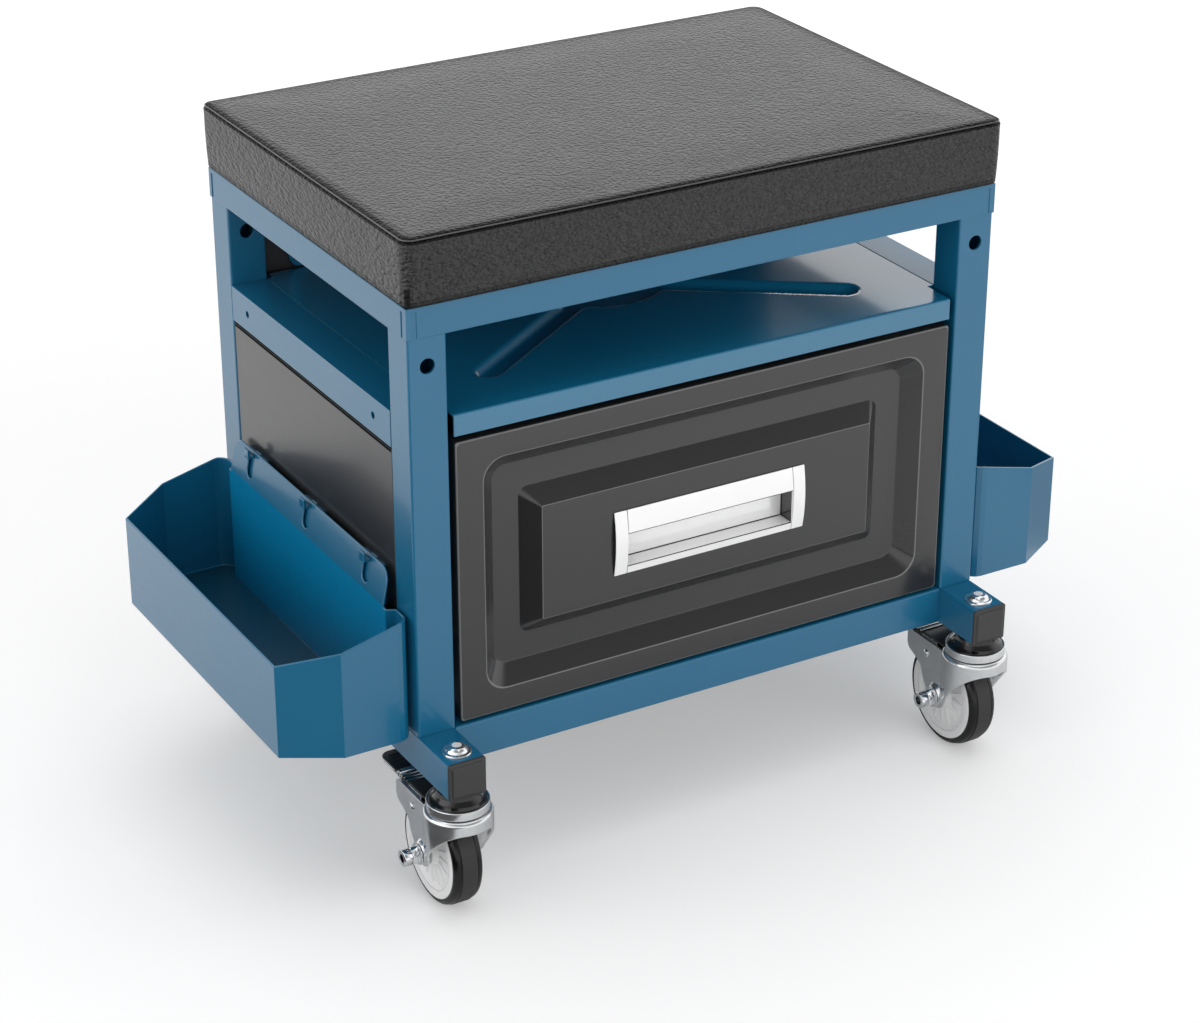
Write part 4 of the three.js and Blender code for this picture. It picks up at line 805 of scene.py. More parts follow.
def foam_swell(cap, middle=360, shrink=(0.990, 0.985, 0.93), held_below=351, steps=20):
    """Where the foam pushes the cover: a plain pad is blown up as cloth, and its moves are kept with their places."""
    pad = shifted(skin("foam_form", cushion_rings(FOAM_PITCH, False)), z=-middle)
    pad.data.transform(Matrix.Diagonal((*shrink, 1)))
    shifted(pad, z=middle)
    applied(modified(pad, "cover", "REMESH", mode="VOXEL", voxel_size=5 * MM))
    held = pad.vertex_groups.new(name="held")
    held.add([corner.index for corner in pad.data.vertices if corner.co.z < held_below * MM], 1.0, "REPLACE")
    rest = [corner.co.copy() for corner in pad.data.vertices]
    cloth = pad.modifiers.new("cover_cloth", "CLOTH")
    for key, value in dict(quality=6, mass=0.25, tension_stiffness=25, compression_stiffness=25, bending_stiffness=2.0,
                           use_pressure=True, uniform_pressure_force=4.0, vertex_group_mass="held").items():
        setattr(cloth.settings, key, value)
    cloth.settings.effector_weights.gravity = 0
    cloth.point_cache.frame_end = steps + 2
    for step in range(1, steps + 1):
        scene.frame_set(step)
    swollen = pad.evaluated_get(bpy.context.evaluated_depsgraph_get()).to_mesh()
    moves = []
    for corner, before in zip(swollen.vertices, rest):
        move = corner.co - before
        if move.length > cap * MM:
            move *= cap * MM / move.length
        moves.append(move)
    pad.modifiers.clear()
    scene.frame_set(1)
    discard(pad)
    return rest, moves


def limited(value):
    return max(0.0, min(1.0, value))


def swollen_cover(cushion, rest, moves, reach=24, near_zero=4e-5):
    """Moves the cover's corners as the foam does, held by the seam and the hem."""
    near = kdtree.KDTree(len(rest))
    for index, place in enumerate(rest):
        near.insert(place, index)
    near.balance()
    for corner in cushion.data.vertices:
        shift, total = Vector(), 0.0
        for _, index, distance in near.find_n(corner.co, reach):
            weight = 1 / (distance * distance + near_zero)
            shift += moves[index] * weight
            total += weight
        shift /= total
        x, y, z = (part / MM for part in corner.co)
        margins = CUSHION_HALF_X - abs(x), CUSHION_HALF_Y - abs(y)
        if z > SIDE_TOP:
            free = limited((min(margins) - RIM_REACH) / FIRM_RIM)
            corner.co.z += max(0.0, shift.z) * free * (2 - free) * 0.25
            continue
        free = limited(min((z - 348) / 9, (SIDE_TOP - z) / 9))
        for axis, part in ((0, x), (1, y)):
            if margins[axis] < RIM_REACH:
                outward = math.copysign(1, part)
                corner.co[axis] += outward * max(0.0, shift[axis] * outward) * free * 0.5


def sewn_cushion():
    """The cover and the line of its top seam. The foam bulges the panels, and the seam holds them."""
    rings = cushion_rings(COVER_PITCH, True)
    cushion = skin("cushion_cover", rings)
    swollen_cover(cushion, *foam_swell(4.2))
    first = SEAM_RING * len(rings[0])
    return cushion, [tuple(corner.co / MM) for corner in cushion.data.vertices[first:first + len(rings[0])]]


def piping_tree():
    """A round cord laid along a loop of edges."""
    tree, given, result = node_group(
        "sewn_piping", "Geometry", [("Path", "Geometry"), ("Radius", "Float"), ("Finish", "Material")],
        [("Cord", "Geometry")])
    line = shade(tree, "GeometryNodeMeshToCurve", {0: given["Path"]})[0]
    section = shade(tree, "GeometryNodeCurvePrimitiveCircle", {
        "Resolution": PIPING_SIDES, "Radius": given["Radius"]})[0]
    cord = shade(tree, "GeometryNodeCurveToMesh", {0: line, 1: section})[0]
    feed(result[0], finished_mesh(tree, cord, given["Finish"]))
    return tree


def finished_mesh(tree, mesh, finish):
    real = shade(tree, "GeometryNodeRealizeInstances", {0: mesh})[0]
    return shade(tree, "GeometryNodeSetMaterial", {"Geometry": real, "Material": finish})[0]


def with_tree(piece, tree, **values):
    """Adds a Geometry Nodes tree to a piece, gives its named inputs, and applies it."""
    nodes = piece.modifiers.new(tree.name, "NODES")
    nodes.node_group = tree
    for item in tree.interface.items_tree:
        if item.item_type == "SOCKET" and item.in_out == "INPUT" and item.name in values:
            nodes[item.identifier] = values[item.name]
    return applied(piece)


cushion, seam_line = sewn_cushion()
recess = rounded_rectangle(RECESS_HALF_X, RECESS_HALF_Y, RECESS_TURN, 6)
smoothed(cut(cushion, prism("recess", recess, "z", CUSHION_BOTTOM - 4.6, RECESS_TOP)), 60)
tinted(cushion, COVER, COVER_HALF_SHADE, COVER_DEEP_SHADE)
# painted shade in two tones along the seams and the hem
for face in cushion.data.polygons:
    x, y, z = (part / MM for part in face.center)
    margin = min(CUSHION_HALF_X - abs(x), CUSHION_HALF_Y - abs(y))
    below, above = CUSHION_TOP - z, z - CUSHION_BOTTOM
    on_side = margin < 2.0 and below > 1.9
    deep_shade, near = (below < top or above < hem if on_side else margin < rim
                  for top, hem, rim in (DEEP_SHADE_REACH, HALF_SHADE_REACH))
    face.material_index = 2 if deep_shade else 1 if near else 0
carried(cushion, "seat_cushion", slot="cushion_cover")

piping = piece_from("cushion_piping", seam_line, [])
with edited(piping.data) as loop:
    loop.verts.ensure_lookup_table()
    for place, corner in enumerate(loop.verts):
        loop.edges.new((corner, loop.verts[(place + 1) % len(loop.verts)]))
with_tree(piping, piping_tree(), Radius=PIPING_RADIUS * MM, Finish=PIPING_PAINTED_HIGHLIGHT)
finished(smoothed(made_solid(piping), 60), PIPING_PAINTED_HIGHLIGHT, body=frame["nodes"]["seat_cushion"]["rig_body"])

# ------------------------------------------------------------------ shelf with its pressed cross


def pressing_tree():
    """Sinks a sheet along two crossed bars that meet in a round hub."""
    tree, given, result = node_group(
        "pressed_cross", "Geometry",
        [("Sheet", "Geometry"), *((label, "Float") for label in (
            "Depth", "Half Width", "Reach", "Hub Radius", "Slope", "Level")),
         ("Arm", "Vector"), ("Finish", "Material")], [("Sheet", "Geometry")])
    place = shade(tree, "GeometryNodeInputPosition")[0]
    flat = vectors(tree, "MULTIPLY", {0: vectors(tree, "ABSOLUTE", {0: place})[0], 1: (1.0, 1.0, 0.0)})[0]
    along = vectors(tree, "DOT_PRODUCT", {0: flat, 1: given["Arm"]})["Value"]
    end = sum_of(tree, given["Reach"], given["Half Width"], "SUBTRACT")
    kept = sum_of(tree, sum_of(tree, along, end, "MINIMUM"), 0.0, "MAXIMUM")
    spine = vectors(tree, "SCALE", {0: given["Arm"], 3: kept})[0]
    from_arm = sum_of(tree, vectors(tree, "DISTANCE", {0: flat, 1: spine})["Value"], given["Half Width"], "SUBTRACT")
    from_hub = sum_of(tree, vectors(tree, "LENGTH", {0: flat})["Value"], given["Hub Radius"], "SUBTRACT")
    nearest = shade(tree, "ShaderNodeMath", {0: from_arm, 1: from_hub, 2: 8 * MM}, operation="SMOOTH_MIN")[0]
    share = ranged(tree, nearest, 0.0, product(tree, given["Slope"], -1.0))
    drop = product(tree, product(tree, share, given["Depth"]), -1.0)
    shift = shade(tree, "ShaderNodeCombineXYZ", {"Z": drop})[0]
    height = shade(tree, "ShaderNodeSeparateXYZ", {0: place})["Z"]
    pressed = shade(tree, "GeometryNodeSetPosition", {
        "Geometry": given["Sheet"], "Selection": sum_of(tree, height, given["Level"], "GREATER_THAN"),
        "Offset": shift})[0]
    feed(result[0], finished_mesh(tree, pressed, given["Finish"]))
    return tree


SHELF_HALF_X, SHELF_NECK_X, SHELF_NECK_Y, SHELF_FRONT, SHELF_BACK = 158.4, 154.5, 97.7, -119.4, 105.3
SHELF_PITCH, SHELF_BEND, SHELF_GAUGE, LIP_DROPS = 1.55, 1.1, 1.2, (-6.0, -12.0)
CROSS_ANGLE, CROSS_DEPTH, BAR_HALF, BAR_REACH, HUB_RADIUS, CROSS_SLOPE = math.radians(35), 4.4, 8, 145, 36, 3.4


def shelf_sheet():
    """The shelf's upper skin on a fine grid, with its lips turned down at the front and back."""
    def breaks(*stops):
        steps = []
        for low, high in zip(stops, stops[1:]):
            count = max(1, round((high - low) / SHELF_PITCH))
            steps += [low + (high - low) * k / count for k in range(count)]
        return steps + [stops[-1]]

    front, back = SHELF_FRONT + SHELF_BEND, SHELF_BACK - SHELF_BEND
    angles = [math.pi * k / 8 for k in range(1, 5)]
    bend = [(SHELF_BEND * math.sin(angle), SHELF_BEND * (math.cos(angle) - 1)) for angle in angles]
    across = breaks(-SHELF_HALF_X, -SHELF_NECK_X, SHELF_NECK_X, SHELF_HALF_X)
    rows = [(SHELF_FRONT, drop) for drop in reversed(LIP_DROPS)] + [(front - out, drop) for out, drop in reversed(bend)]
    rows += [(y, 0.0) for y in breaks(front, -SHELF_NECK_Y, SHELF_NECK_Y, back)]
    rows += [(back + out, drop) for out, drop in bend] + [(SHELF_BACK, drop) for drop in LIP_DROPS]
    faces = []
    for i in range(len(rows) - 1):
        mid_y = (rows[i][0] + rows[i + 1][0]) / 2
        for j in range(len(across) - 1):
            mid_x = (across[j] + across[j + 1]) / 2
            if abs(mid_x) <= SHELF_NECK_X or abs(mid_y) <= SHELF_NECK_Y:
                here, after = i * len(across) + j, (i + 1) * len(across) + j
                faces.append((here, here + 1, after + 1, after))
    sheet = piece_from("shelf_sheet", [(x, y, SHELF_TOP + drop) for y, drop in rows for x in across], faces)
    with edited(sheet.data) as form:
        bmesh.ops.delete(form, geom=[v for v in form.verts if not v.link_faces], context="VERTS")
    return sheet


shelf = with_tree(shelf_sheet(), pressing_tree(), **{
    "Depth": CROSS_DEPTH * MM, "Half Width": BAR_HALF * MM, "Reach": BAR_REACH * MM, "Hub Radius": HUB_RADIUS * MM,
    "Slope": CROSS_SLOPE * MM,
    "Level": (SHELF_TOP - 0.05) * MM, "Arm": (math.cos(CROSS_ANGLE), math.sin(CROSS_ANGLE), 0.0),
    "Finish": SHELF_PAINT})
modified(shelf, "gauge", "SOLIDIFY", thickness=SHELF_GAUGE * MM, offset=-1, use_even_offset=False)
smoothed(applied(shelf), 50)
shelf.data.materials.clear()
for face in tinted(shelf, SHELF_PAINT, SHEET_EDGE_PAINTED_HIGHLIGHT).data.polygons:
    # painted highlight: the shelf's side edge faces get the lighter blue
    face.material_index = 1 if abs(face.normal.x) > 0.9 and abs(face.center.x) > 150 * MM else 0
carried(shelf, "shelf", slot="frame_blue")

# ------------------------------------------------------------------ drawer front and handle

FRONT_HALF_X, FRONT_HALF_Z, FRONT_MID_Z, FRONT_FACE = 154.4, 81.55, 183.95, -120.0
FRONT_GAUGE = 1.0


def between(table, value):
    for (low, at_low), (high, at_high) in zip(table, table[1:]):
        if value <= high:
            return at_low + (at_high - at_low) * (value - low) / (high - low)
    return table[-1][1]


def drawer_front():
    """A pressed pan: rounded border, sunk field, raised middle, and the opening for the handle."""
    corner_turn = [(0, 1.6), (15.8, 13.0), (25.3, 8.2), (40.9, 5.2), (50.5, 1.0), (60, 1.0)]
    tall_draw = [(0, 0), (15.8, 13.4), (25.3, 22.9), (40.9, 38.5), (50.5, 48.1), (60, 57.6)]
    section = [(0, 12, 0), (0, 0, 0.8), (15.8, 0, 1.0), (25.3, 9.5, 1.2), (40.9, 9.5, 1.0), (50.5, 0.7, 0.6),
               (54, 0.7, 0)]
    # the folds whose narrow bands get the painted highlight, how far from them it reaches, and how deep
    lit_folds, fold_reach, lit_depth = (0.25, 15.8, 50.3), 0.85, 1.6

    def outline(half_x, half_z, turn, depth):
        return [(x, FRONT_FACE + depth, z) for x, z in rounded_rectangle(half_x, half_z, turn, 8, (0, FRONT_MID_Z))]

    def ring(draw, depth):
        return outline(FRONT_HALF_X - draw, FRONT_HALF_Z - between(tall_draw, draw),
                       between(corner_turn, max(0.0, draw)), depth)

    outer = filleted(section, steps=6)
    rings = [ring(draw, depth) for draw, depth in outer]
    tones = []
    for a, b in zip(outer, outer[1:]):
        draw, depth = (a[0] + b[0]) / 2, (a[1] + b[1]) / 2
        on_fold = any(abs(draw - fold) < fold_reach for fold in lit_folds) and depth < lit_depth
        tones.append(1 if on_fold and math.dist(a, b) < 0.5 else 0)
    rings += [outline(56.9, 15.2, 0.4, depth) for depth in (0.7, 0.7 + FRONT_GAUGE)]
    inner = [(draw + (FRONT_GAUGE if depth > 1.2 and draw < 1.3 else 0.0),
              depth + (FRONT_GAUGE if draw > 1.3 else 0.0))
             for draw, depth in outer if not (draw < 1.4 and depth < 1.25)]
    rings += [ring(draw, min(depth, 12)) for draw, depth in reversed(inner)]
    return skin("drawer_front_pressing", rings, looping=True, tones=tones + [0])


carried(tinted(smoothed(drawer_front(), 60), GRAPHITE, FOLD_PAINTED_HIGHLIGHT), "drawer_front", slot="front_graphite")

HANDLE_HALF_Z, PLATEAU, HANDLE_EDGE, HANDLE_BOW = 18.8, -119.3, 0.8, 2.0
HANDLE_TOP, HANDLE_BOTTOM, HANDLE_BACK = FRONT_MID_Z + HANDLE_HALF_Z, FRONT_MID_Z - HANDLE_HALF_Z, PLATEAU - 0.3
CUP_TOP, CUP_BOTTOM, CUP_BACK, CUP_WALL = FRONT_MID_Z + 14.9, FRONT_MID_Z - 14.9, -108.3, 1.2
EXTRUSION_HALF, CAP_INNER, CAP_PLUG = 52.45, 52.85, 56.6


def bowed(z):
    """How far forward the handle's front skin lies at a height."""
    share = (z - FRONT_MID_Z) / HANDLE_HALF_Z
    return PLATEAU - HANDLE_EDGE - HANDLE_BOW * (1 - share * share)


def bow_line(start, end, steps, inset=0.0):
    """Points (y, z) down or up the handle's front skin."""
    heights = [start + (end - start) * k / steps for k in range(steps + 1)]
    return [(bowed(z) + inset, z) for z in heights]


def handle_middle():
    """The extrusion: a hood to grip behind, the pocket under it, and a low lip."""
    hood_end, lip_top, floor = HANDLE_TOP - 13.5, HANDLE_BOTTOM + 4.0, CUP_BOTTOM + 0.5
    inner_back, hood_back = CUP_BACK - CUP_WALL, bowed(hood_end) + 0.2
    profile = (bow_line(HANDLE_TOP, HANDLE_TOP - 13.0, 10)
               + [(hood_back, hood_end + 0.45), (hood_back, hood_end)]
               + bow_line(hood_end, CUP_TOP - CUP_WALL, 6, CUP_WALL)
               + [(inner_back - 1.0, CUP_TOP - CUP_WALL), (inner_back, CUP_TOP - CUP_WALL - 1.0),
                  (inner_back, floor + 0.4), (inner_back - 0.4, floor),
                  (bowed(lip_top) + 0.7, floor), (bowed(lip_top) + 0.3, lip_top)]
               + bow_line(lip_top, HANDLE_BOTTOM, 4)
               + [(HANDLE_BACK, HANDLE_BOTTOM), (HANDLE_BACK, CUP_BOTTOM), (CUP_BACK, CUP_BOTTOM),
                  (CUP_BACK, CUP_TOP), (HANDLE_BACK, CUP_TOP), (HANDLE_BACK, HANDLE_TOP)])
    piece = softened(prism("handle_extrusion", profile, "x", -EXTRUSION_HALF, EXTRUSION_HALF), 0.18, 2, 38)
    # painted shade: narrow bands along the hood's, pocket's and lip's creases are painted dark
    creases = [Vector(crease) for crease in (
        (hood_back, hood_end + 0.22), (inner_back - 0.2, floor + 0.2), (bowed(lip_top) + 0.55, floor - 0.1))]
    for face in tinted(piece, BRIGHT_METAL_AND_HIGHLIGHT, HANDLE_PAINTED_SHADE).data.polygons:
        place = Vector((face.center.y / MM, face.center.z / MM))
        if any((place - crease).length < 0.32 for crease in creases):
            face.material_index = 1
    return piece


def handle_cap(side, sign):
    """An end cap with the extrusion's bow, a rounded rim, and a plug that closes the pocket; the plug's inner faces and
    the cap's outer face are painted dark as painted shade and reflection.
    """
    def rim_ring(x, draw):
        high, low = HANDLE_TOP - draw, HANDLE_BOTTOM + draw
        return [(sign * x, y, z) for y, z in bow_line(high, low, 16, draw) + [(HANDLE_BACK, low), (HANDLE_BACK, high)]]

    rim = skin("cap_rim", [rim_ring(x, draw) for x, draw in (
        (CAP_INNER, 0.12), (53.0, 0.0), (60.0, 0.0), (60.35, 0.1), (60.5, 0.35))])
    plug = prism("cap_plug", rounded_rectangle((CAP_PLUG - CAP_INNER) / 2, 14.8, 0.4, 3,
                                               (sign * (CAP_INNER + CAP_PLUG) / 2, FRONT_MID_Z)), "y", -119.8, CUP_BACK)
    whole = tinted(united(f"handle_{side}_end", [rim, plug]), BRIGHT_METAL_AND_HIGHLIGHT, HANDLE_PAINTED_SHADE)
    for face in whole.data.polygons:
        # painted shade and reflection: the plug's inner faces and the cap's outer end face
        height = abs(face.center.z / MM - FRONT_MID_Z)
        inward = face.normal.x * -sign > 0.8 and height < 14 and face.center.y > (PLATEAU - 1.2) * MM
        face.material_index = 1 if inward or face.normal.x * sign > 0.9 else 0
    return smoothed(whole, 35)


carried(handle_middle(), "drawer_handle", slot="handle_bright")
for side, side_sign in SIDES:
    carried(handle_cap(side, side_sign), f"drawer_handle_{side}_cap", slot="handle_bright")

# ------------------------------------------------------------------ casters
# Built once about the swivel axis, with the mounting face at height zero and the wheel trailing along +Y.

TRAIL, AXLE, CROWN_TOP, CROWN_R, LEG_X, GAUGE = 18.5, -46.5, -11.5, 19.0, 12.5, 1.5
SHOULDER_R, SHOULDER_Z, SKIRT_TOP, STEM_BORE, REAR_CHORD = 2.4, -13.9, -15.1, 4.9, 13.6
TURN_FROM, BEND_SWEEP, BEND_Y, BEND_R = 135.75, 45.7, 15.4, 2.5    # where the skirt turns into the legs
LEG_ROLL, SKIRT_FOOT, ARCH_TOP, ARCH_FOOT, ARCH_FROM, ARCH_SPAN = 3.2, -52.6, -19.1, -47.6, 15, 97
LEG_COLUMNS, BEND_COLUMNS, ARC_COLUMNS, REAR_COLUMNS, SKIRT_ROWS = 31, 7, 44, 18, 18
PIVOT_Y, PIVOT_Z, AXLE_BORE, PIVOT_BORE = 29.8, -23.9, 4.35, 2.3
MARK_ANGLE, MARK_Z = math.radians(38), -15.9


def height_at(path, y):
    for (low, at_low), (high, at_high) in zip(path, path[1:]):
        if low <= y <= high:
            return at_low + (at_high - at_low) * (y - low) / max(high - low, 1e-6)
    return path[-1][1] if y > path[-1][0] else path[0][1]


def fork_columns(braked):
    """The fork's skirt and legs as columns (x, y, upper end, lower end), from one leg's tip round to the other's."""
    leg_end = 48.5 if braked else 35.5
    lower = [(BEND_Y, SKIRT_FOOT, 0), (17.6, -54.0, 2.0), (22.6, -53.8, 3.0), (31.6, -41.0, 6.0)]
    lower += [(34.6, -33.2, 5.0), (40.5, -30.2, 4.0), (48.6, -27.0, 0)] if braked else [(35.6, -33.1, 0)]
    lower = sorted(filleted(lower, steps=8))
    columns = []
    for k in range(LEG_COLUMNS):
        y = leg_end + (BEND_Y - leg_end) * k / (LEG_COLUMNS - 1)
        low, high = height_at(lower, y), SKIRT_TOP
        if braked:
            near = max(0.0, y - (leg_end - LEG_ROLL))
            roll = LEG_ROLL - math.sqrt(max(0.0, LEG_ROLL ** 2 - near ** 2))
            low, high = low + roll, high - roll * 0.6
        else:
            high -= 17.5 * (max(0.0, y - 24.0) / 11.5) ** 1.6
        columns.append((LEG_X, y, high, low))
    for k in range(1, BEND_COLUMNS + 1):
        share = k / BEND_COLUMNS
        angle = math.radians(180 + BEND_SWEEP * share)
        columns.append((LEG_X + BEND_R + BEND_R * math.cos(angle), BEND_Y + BEND_R * math.sin(angle),
                        SKIRT_TOP + (SHOULDER_Z - SKIRT_TOP) * share, SKIRT_FOOT + 5.0 * share ** 1.4))
    for k in range(1, ARC_COLUMNS + 1):
        angle = math.radians(TURN_FROM) * (1 - k / ARC_COLUMNS)
        arch = max(0.0, abs(angle) - math.radians(ARCH_FROM)) / math.radians(ARCH_SPAN)
        columns.append((CROWN_R * math.sin(angle), -CROWN_R * math.cos(angle), SHOULDER_Z,
                        ARCH_TOP + (ARCH_FOOT - ARCH_TOP) * min(1.0, arch ** 2)))
    return columns + [(-x, y, high, low) for x, y, high, low in reversed(columns[:-1])]


def fork_sheet(braked):
    """The pressed fork as one skin: flat crown, rolled shoulder, arched skirt, and legs that leave it on a bend."""
    columns = fork_columns(braked)
    points, faces = [], []
    for x, y, high, low in columns:
        points += [(x, y, high + (low - high) * k / SKIRT_ROWS) for k in range(SKIRT_ROWS + 1)]
    for i in range(len(columns) - 1):
        for k in range(SKIRT_ROWS):
            a, b = i * (SKIRT_ROWS + 1) + k, (i + 1) * (SKIRT_ROWS + 1) + k
            faces.append((a, a + 1, b + 1, b))

    # the crown, from its shoulder in to the bore; behind the legs it ends on a straight edge
    turn_from = math.radians(TURN_FROM)
    first = LEG_COLUMNS + BEND_COLUMNS - 1
    around = [(math.atan2(x, -y), False) for x, y, _, _ in columns[first:len(columns) - first]]
    around += [(-turn_from - (2 * math.pi - 2 * turn_from) * k / REAR_COLUMNS, True) for k in range(1, REAR_COLUMNS)]
    profile = [(CROWN_R - SHOULDER_R + SHOULDER_R * math.cos(math.radians(a)),
                SHOULDER_Z + SHOULDER_R * math.sin(math.radians(a))) for a in range(0, 91, 15)]
    profile += [(14.6, CROWN_TOP), (11, CROWN_TOP), (7.5, CROWN_TOP), (5.3, CROWN_TOP), (STEM_BORE, CROWN_TOP - 0.2)]
    start, size = len(points), len(profile)
    for angle, behind in around:
        for r, z in profile:
            if behind:
                chord = REAR_CHORD / max(0.1, -math.cos(angle))
                fade = min(1.0, (abs(abs(math.remainder(angle, 2 * math.pi)) - turn_from)) / math.radians(12))
                r = STEM_BORE + (r - STEM_BORE) * (chord - STEM_BORE) / (CROWN_R - STEM_BORE)
                z = z + (CROWN_TOP - z) * fade if z < CROWN_TOP - 0.1 and r > 6 else z
            points.append((r * math.sin(angle), -r * math.cos(angle), z))
    for i in range(len(around)):
        for k in range(size - 1):
            a, b = start + i * size + k, start + (i + 1) % len(around) * size + k
            faces.append((a, b, b + 1, a + 1))
    piece = piece_from("fork_sheet", points, faces)
    with edited(piece.data) as form:
        bmesh.ops.remove_doubles(form, verts=form.verts, dist=0.02 * MM)
        bmesh.ops.recalc_face_normals(form, faces=form.faces)
        top = max(form.faces, key=lambda face: face.calc_center_median().z if face.normal.length else -1)
        if top.normal.z < 0:
            bmesh.ops.reverse_faces(form, faces=form.faces)
    return piece


def fork_form(braked):
    """The fork's sheet with its thickness, rims, bores and axle bosses, and a witness mark punched in its front."""
    piece = modified(fork_sheet(braked), "gauge", "SOLIDIFY", thickness=GAUGE * MM, offset=-1, use_even_offset=True)
    applied(modified(piece, "rims", "BEVEL", width=0.28 * MM, segments=2, limit_method="ANGLE",
                     angle_limit=math.radians(55)))
    holes = [prism("axle_bore", circle(AXLE_BORE, 32, (TRAIL, AXLE)), "x", -20, 20)]
    if braked:
        holes.append(prism("pivot_bore", circle(PIVOT_BORE, 32, (PIVOT_Y, PIVOT_Z)), "x", -20, 20))
    mark = lathed("punch_mark", [(0, -0.9), (0.75, -0.5), (0.95, 0), (0.75, 0.5), (0, 0.9)], 16)
    cut(cut(piece, *holes), shifted(mark, CROWN_R * math.sin(MARK_ANGLE), -CROWN_R * math.cos(MARK_ANGLE), MARK_Z))
    bosses = [shifted(handed(turned("axle_boss", [
        (4.4, 0.3, 0), (7.9, 0.3, 0), (7.6, 0.6, 0.8), (5.9, 2.8, 0.9), (4.5, 2.8, 0.3), (4.4, 0.3, 0)], 4, 56), sign),
        sign * (LEG_X - 0.5), TRAIL, AXLE) for sign in (-1, 1)]
    return tinted(smoothed(united("fork_pressing", [piece] + bosses), 40), ZINC)


def stem_form():
    """Stem, rubber seal, upper cup and the riveted kingpin."""
    metal = turned("cup_and_pin", [
        (0, -15.6, 0), (5.9, -15.6, 0), (6.5, -15.0, 0.4), (6.5, -13.8, 0), (4.5, -13.8, 0), (4.5, -7.7, 0),
        (15.7, -7.7, 0), (15.7, -11.0, 0), (16.9, -11.0, 0.3), (17.2, -10.5, 0.4), (17.2, -6.1, 0.5), (16.2, -6.0, 0.4),
        (16.2, -6.9, 0), (5.0, -6.9, 0), (5.0, 23.8, 0), (4.6, 24.2, 0), (0, 24.2, 0)], 4, 72, "z")
    seal = turned("seal", [
        (5.1, -6.8, 0), (16.1, -6.8, 0), (16.1, -6.3, 0), (15.6, -5.7, 0.5), (13.6, -4.6, 3.0), (11.8, -2.2, 2.4),
        (11.2, -0.1, 0.2), (5.1, -0.1, 0), (5.1, -6.8, 0)], 5, 72, "z")
    for face in seal.data.polygons:
        face.material_index = 1
    return smoothed(tinted(united("stem_and_cup", [metal, seal]), ZINC, SEAL_BLACK_AND_PAINTED_SHADE), 35)


def cap_nut_form():
    """A low chromed dome over a flat flange, hollow where the stem ends in it, with a painted highlight: a bright spot
    on its top.
    """
    dome = turned("dome_nut", [
        (0, 24.5, 0), (5.3, 24.5, 0), (5.3, 22.0, 0), (8.0, 22.0, 0), (8.0, 22.45, 0.2), (7.6, 22.9, 0.3),
        (6.9, 23.1, 0.2), (6.2, 23.2, 0.3), (5.6, 24.5, 1.2), (4.3, 25.6, 1.6), (2.6, 26.05, 0.4), (0, 26.1, 0)],
        6, 64, "z")
    for face in tinted(dome, CHROME, BRIGHT_METAL_AND_HIGHLIGHT).data.polygons:
        # painted highlight: the nut's flat top gets the bright white metal
        face.material_index = 1 if face.center.z > 25.95 * MM else 0
    return smoothed(dome, 40)


HEXAGON_FLAT = 4.6


def axle_form():
    """Axle bolt with a hexagon head on one side, a hexagon nut and a hollow bolt end on the other, and two washers."""
    parts = [turned("axle_shaft", [
        (0, -23.2, 0), (2.5, -23.2, 0), (2.5, -25.1, 0.2), (3.6, -25.2, 0.3), (4.7, -24.9, 0.4), (4.7, -20.3, 0.4),
        (4.3, -20.2, 0), (4.0, -20.0, 0), (4.0, 18.1, 0), (0, 18.1, 0)], 4, 48)]
    corner = 2 * HEXAGON_FLAT / math.sqrt(3)
    hexagon = [(corner * math.cos(math.radians(60 * k + 30)), corner * math.sin(math.radians(60 * k + 30)))
               for k in range(6)]
    for low, high in ((-20.2, -15.6), (15.6, 20.6)):
        turning = lathed("nut_turning", [(0, low - 0.1), (4.5, low - 0.1), (5.4, low + 0.5), (5.4, high - 0.5),
                                         (4.5, high + 0.1), (0, high + 0.1)], 48, "x")
        parts.append(softened(cut(prism("hexagon", hexagon, "x", low, high), turning, operation="INTERSECT"),
                              0.18, 2, 30))
    parts += [handed(turned("washer", [(4.05, 15.32, 0), (6.2, 15.32, 0.15), (6.2, 15.75, 0.15), (4.05, 15.75, 0),
                                       (4.05, 15.32, 0)], 2, 40), sign) for sign in (-1, 1)]
    whole = tinted(smoothed(united("axle_and_nuts", parts), 30), CHROME, SEAL_BLACK_AND_PAINTED_SHADE)
    for face in whole.data.polygons:
        x, radius, slope = face.center.x / MM, face.center.yz.length / MM, abs(face.normal.x)
        # painted shade: the hollow in the bolt end is painted black
        shaded_bolt_hollow = radius < 2.6 and x < -23.0 and slope < 0.5
        under_bolt_end = radius > 4.2 and slope < 0.3 and -20.75 < x < -20.25
        face.material_index = 1 if shaded_bolt_hollow or under_bolt_end else 0
    return whole


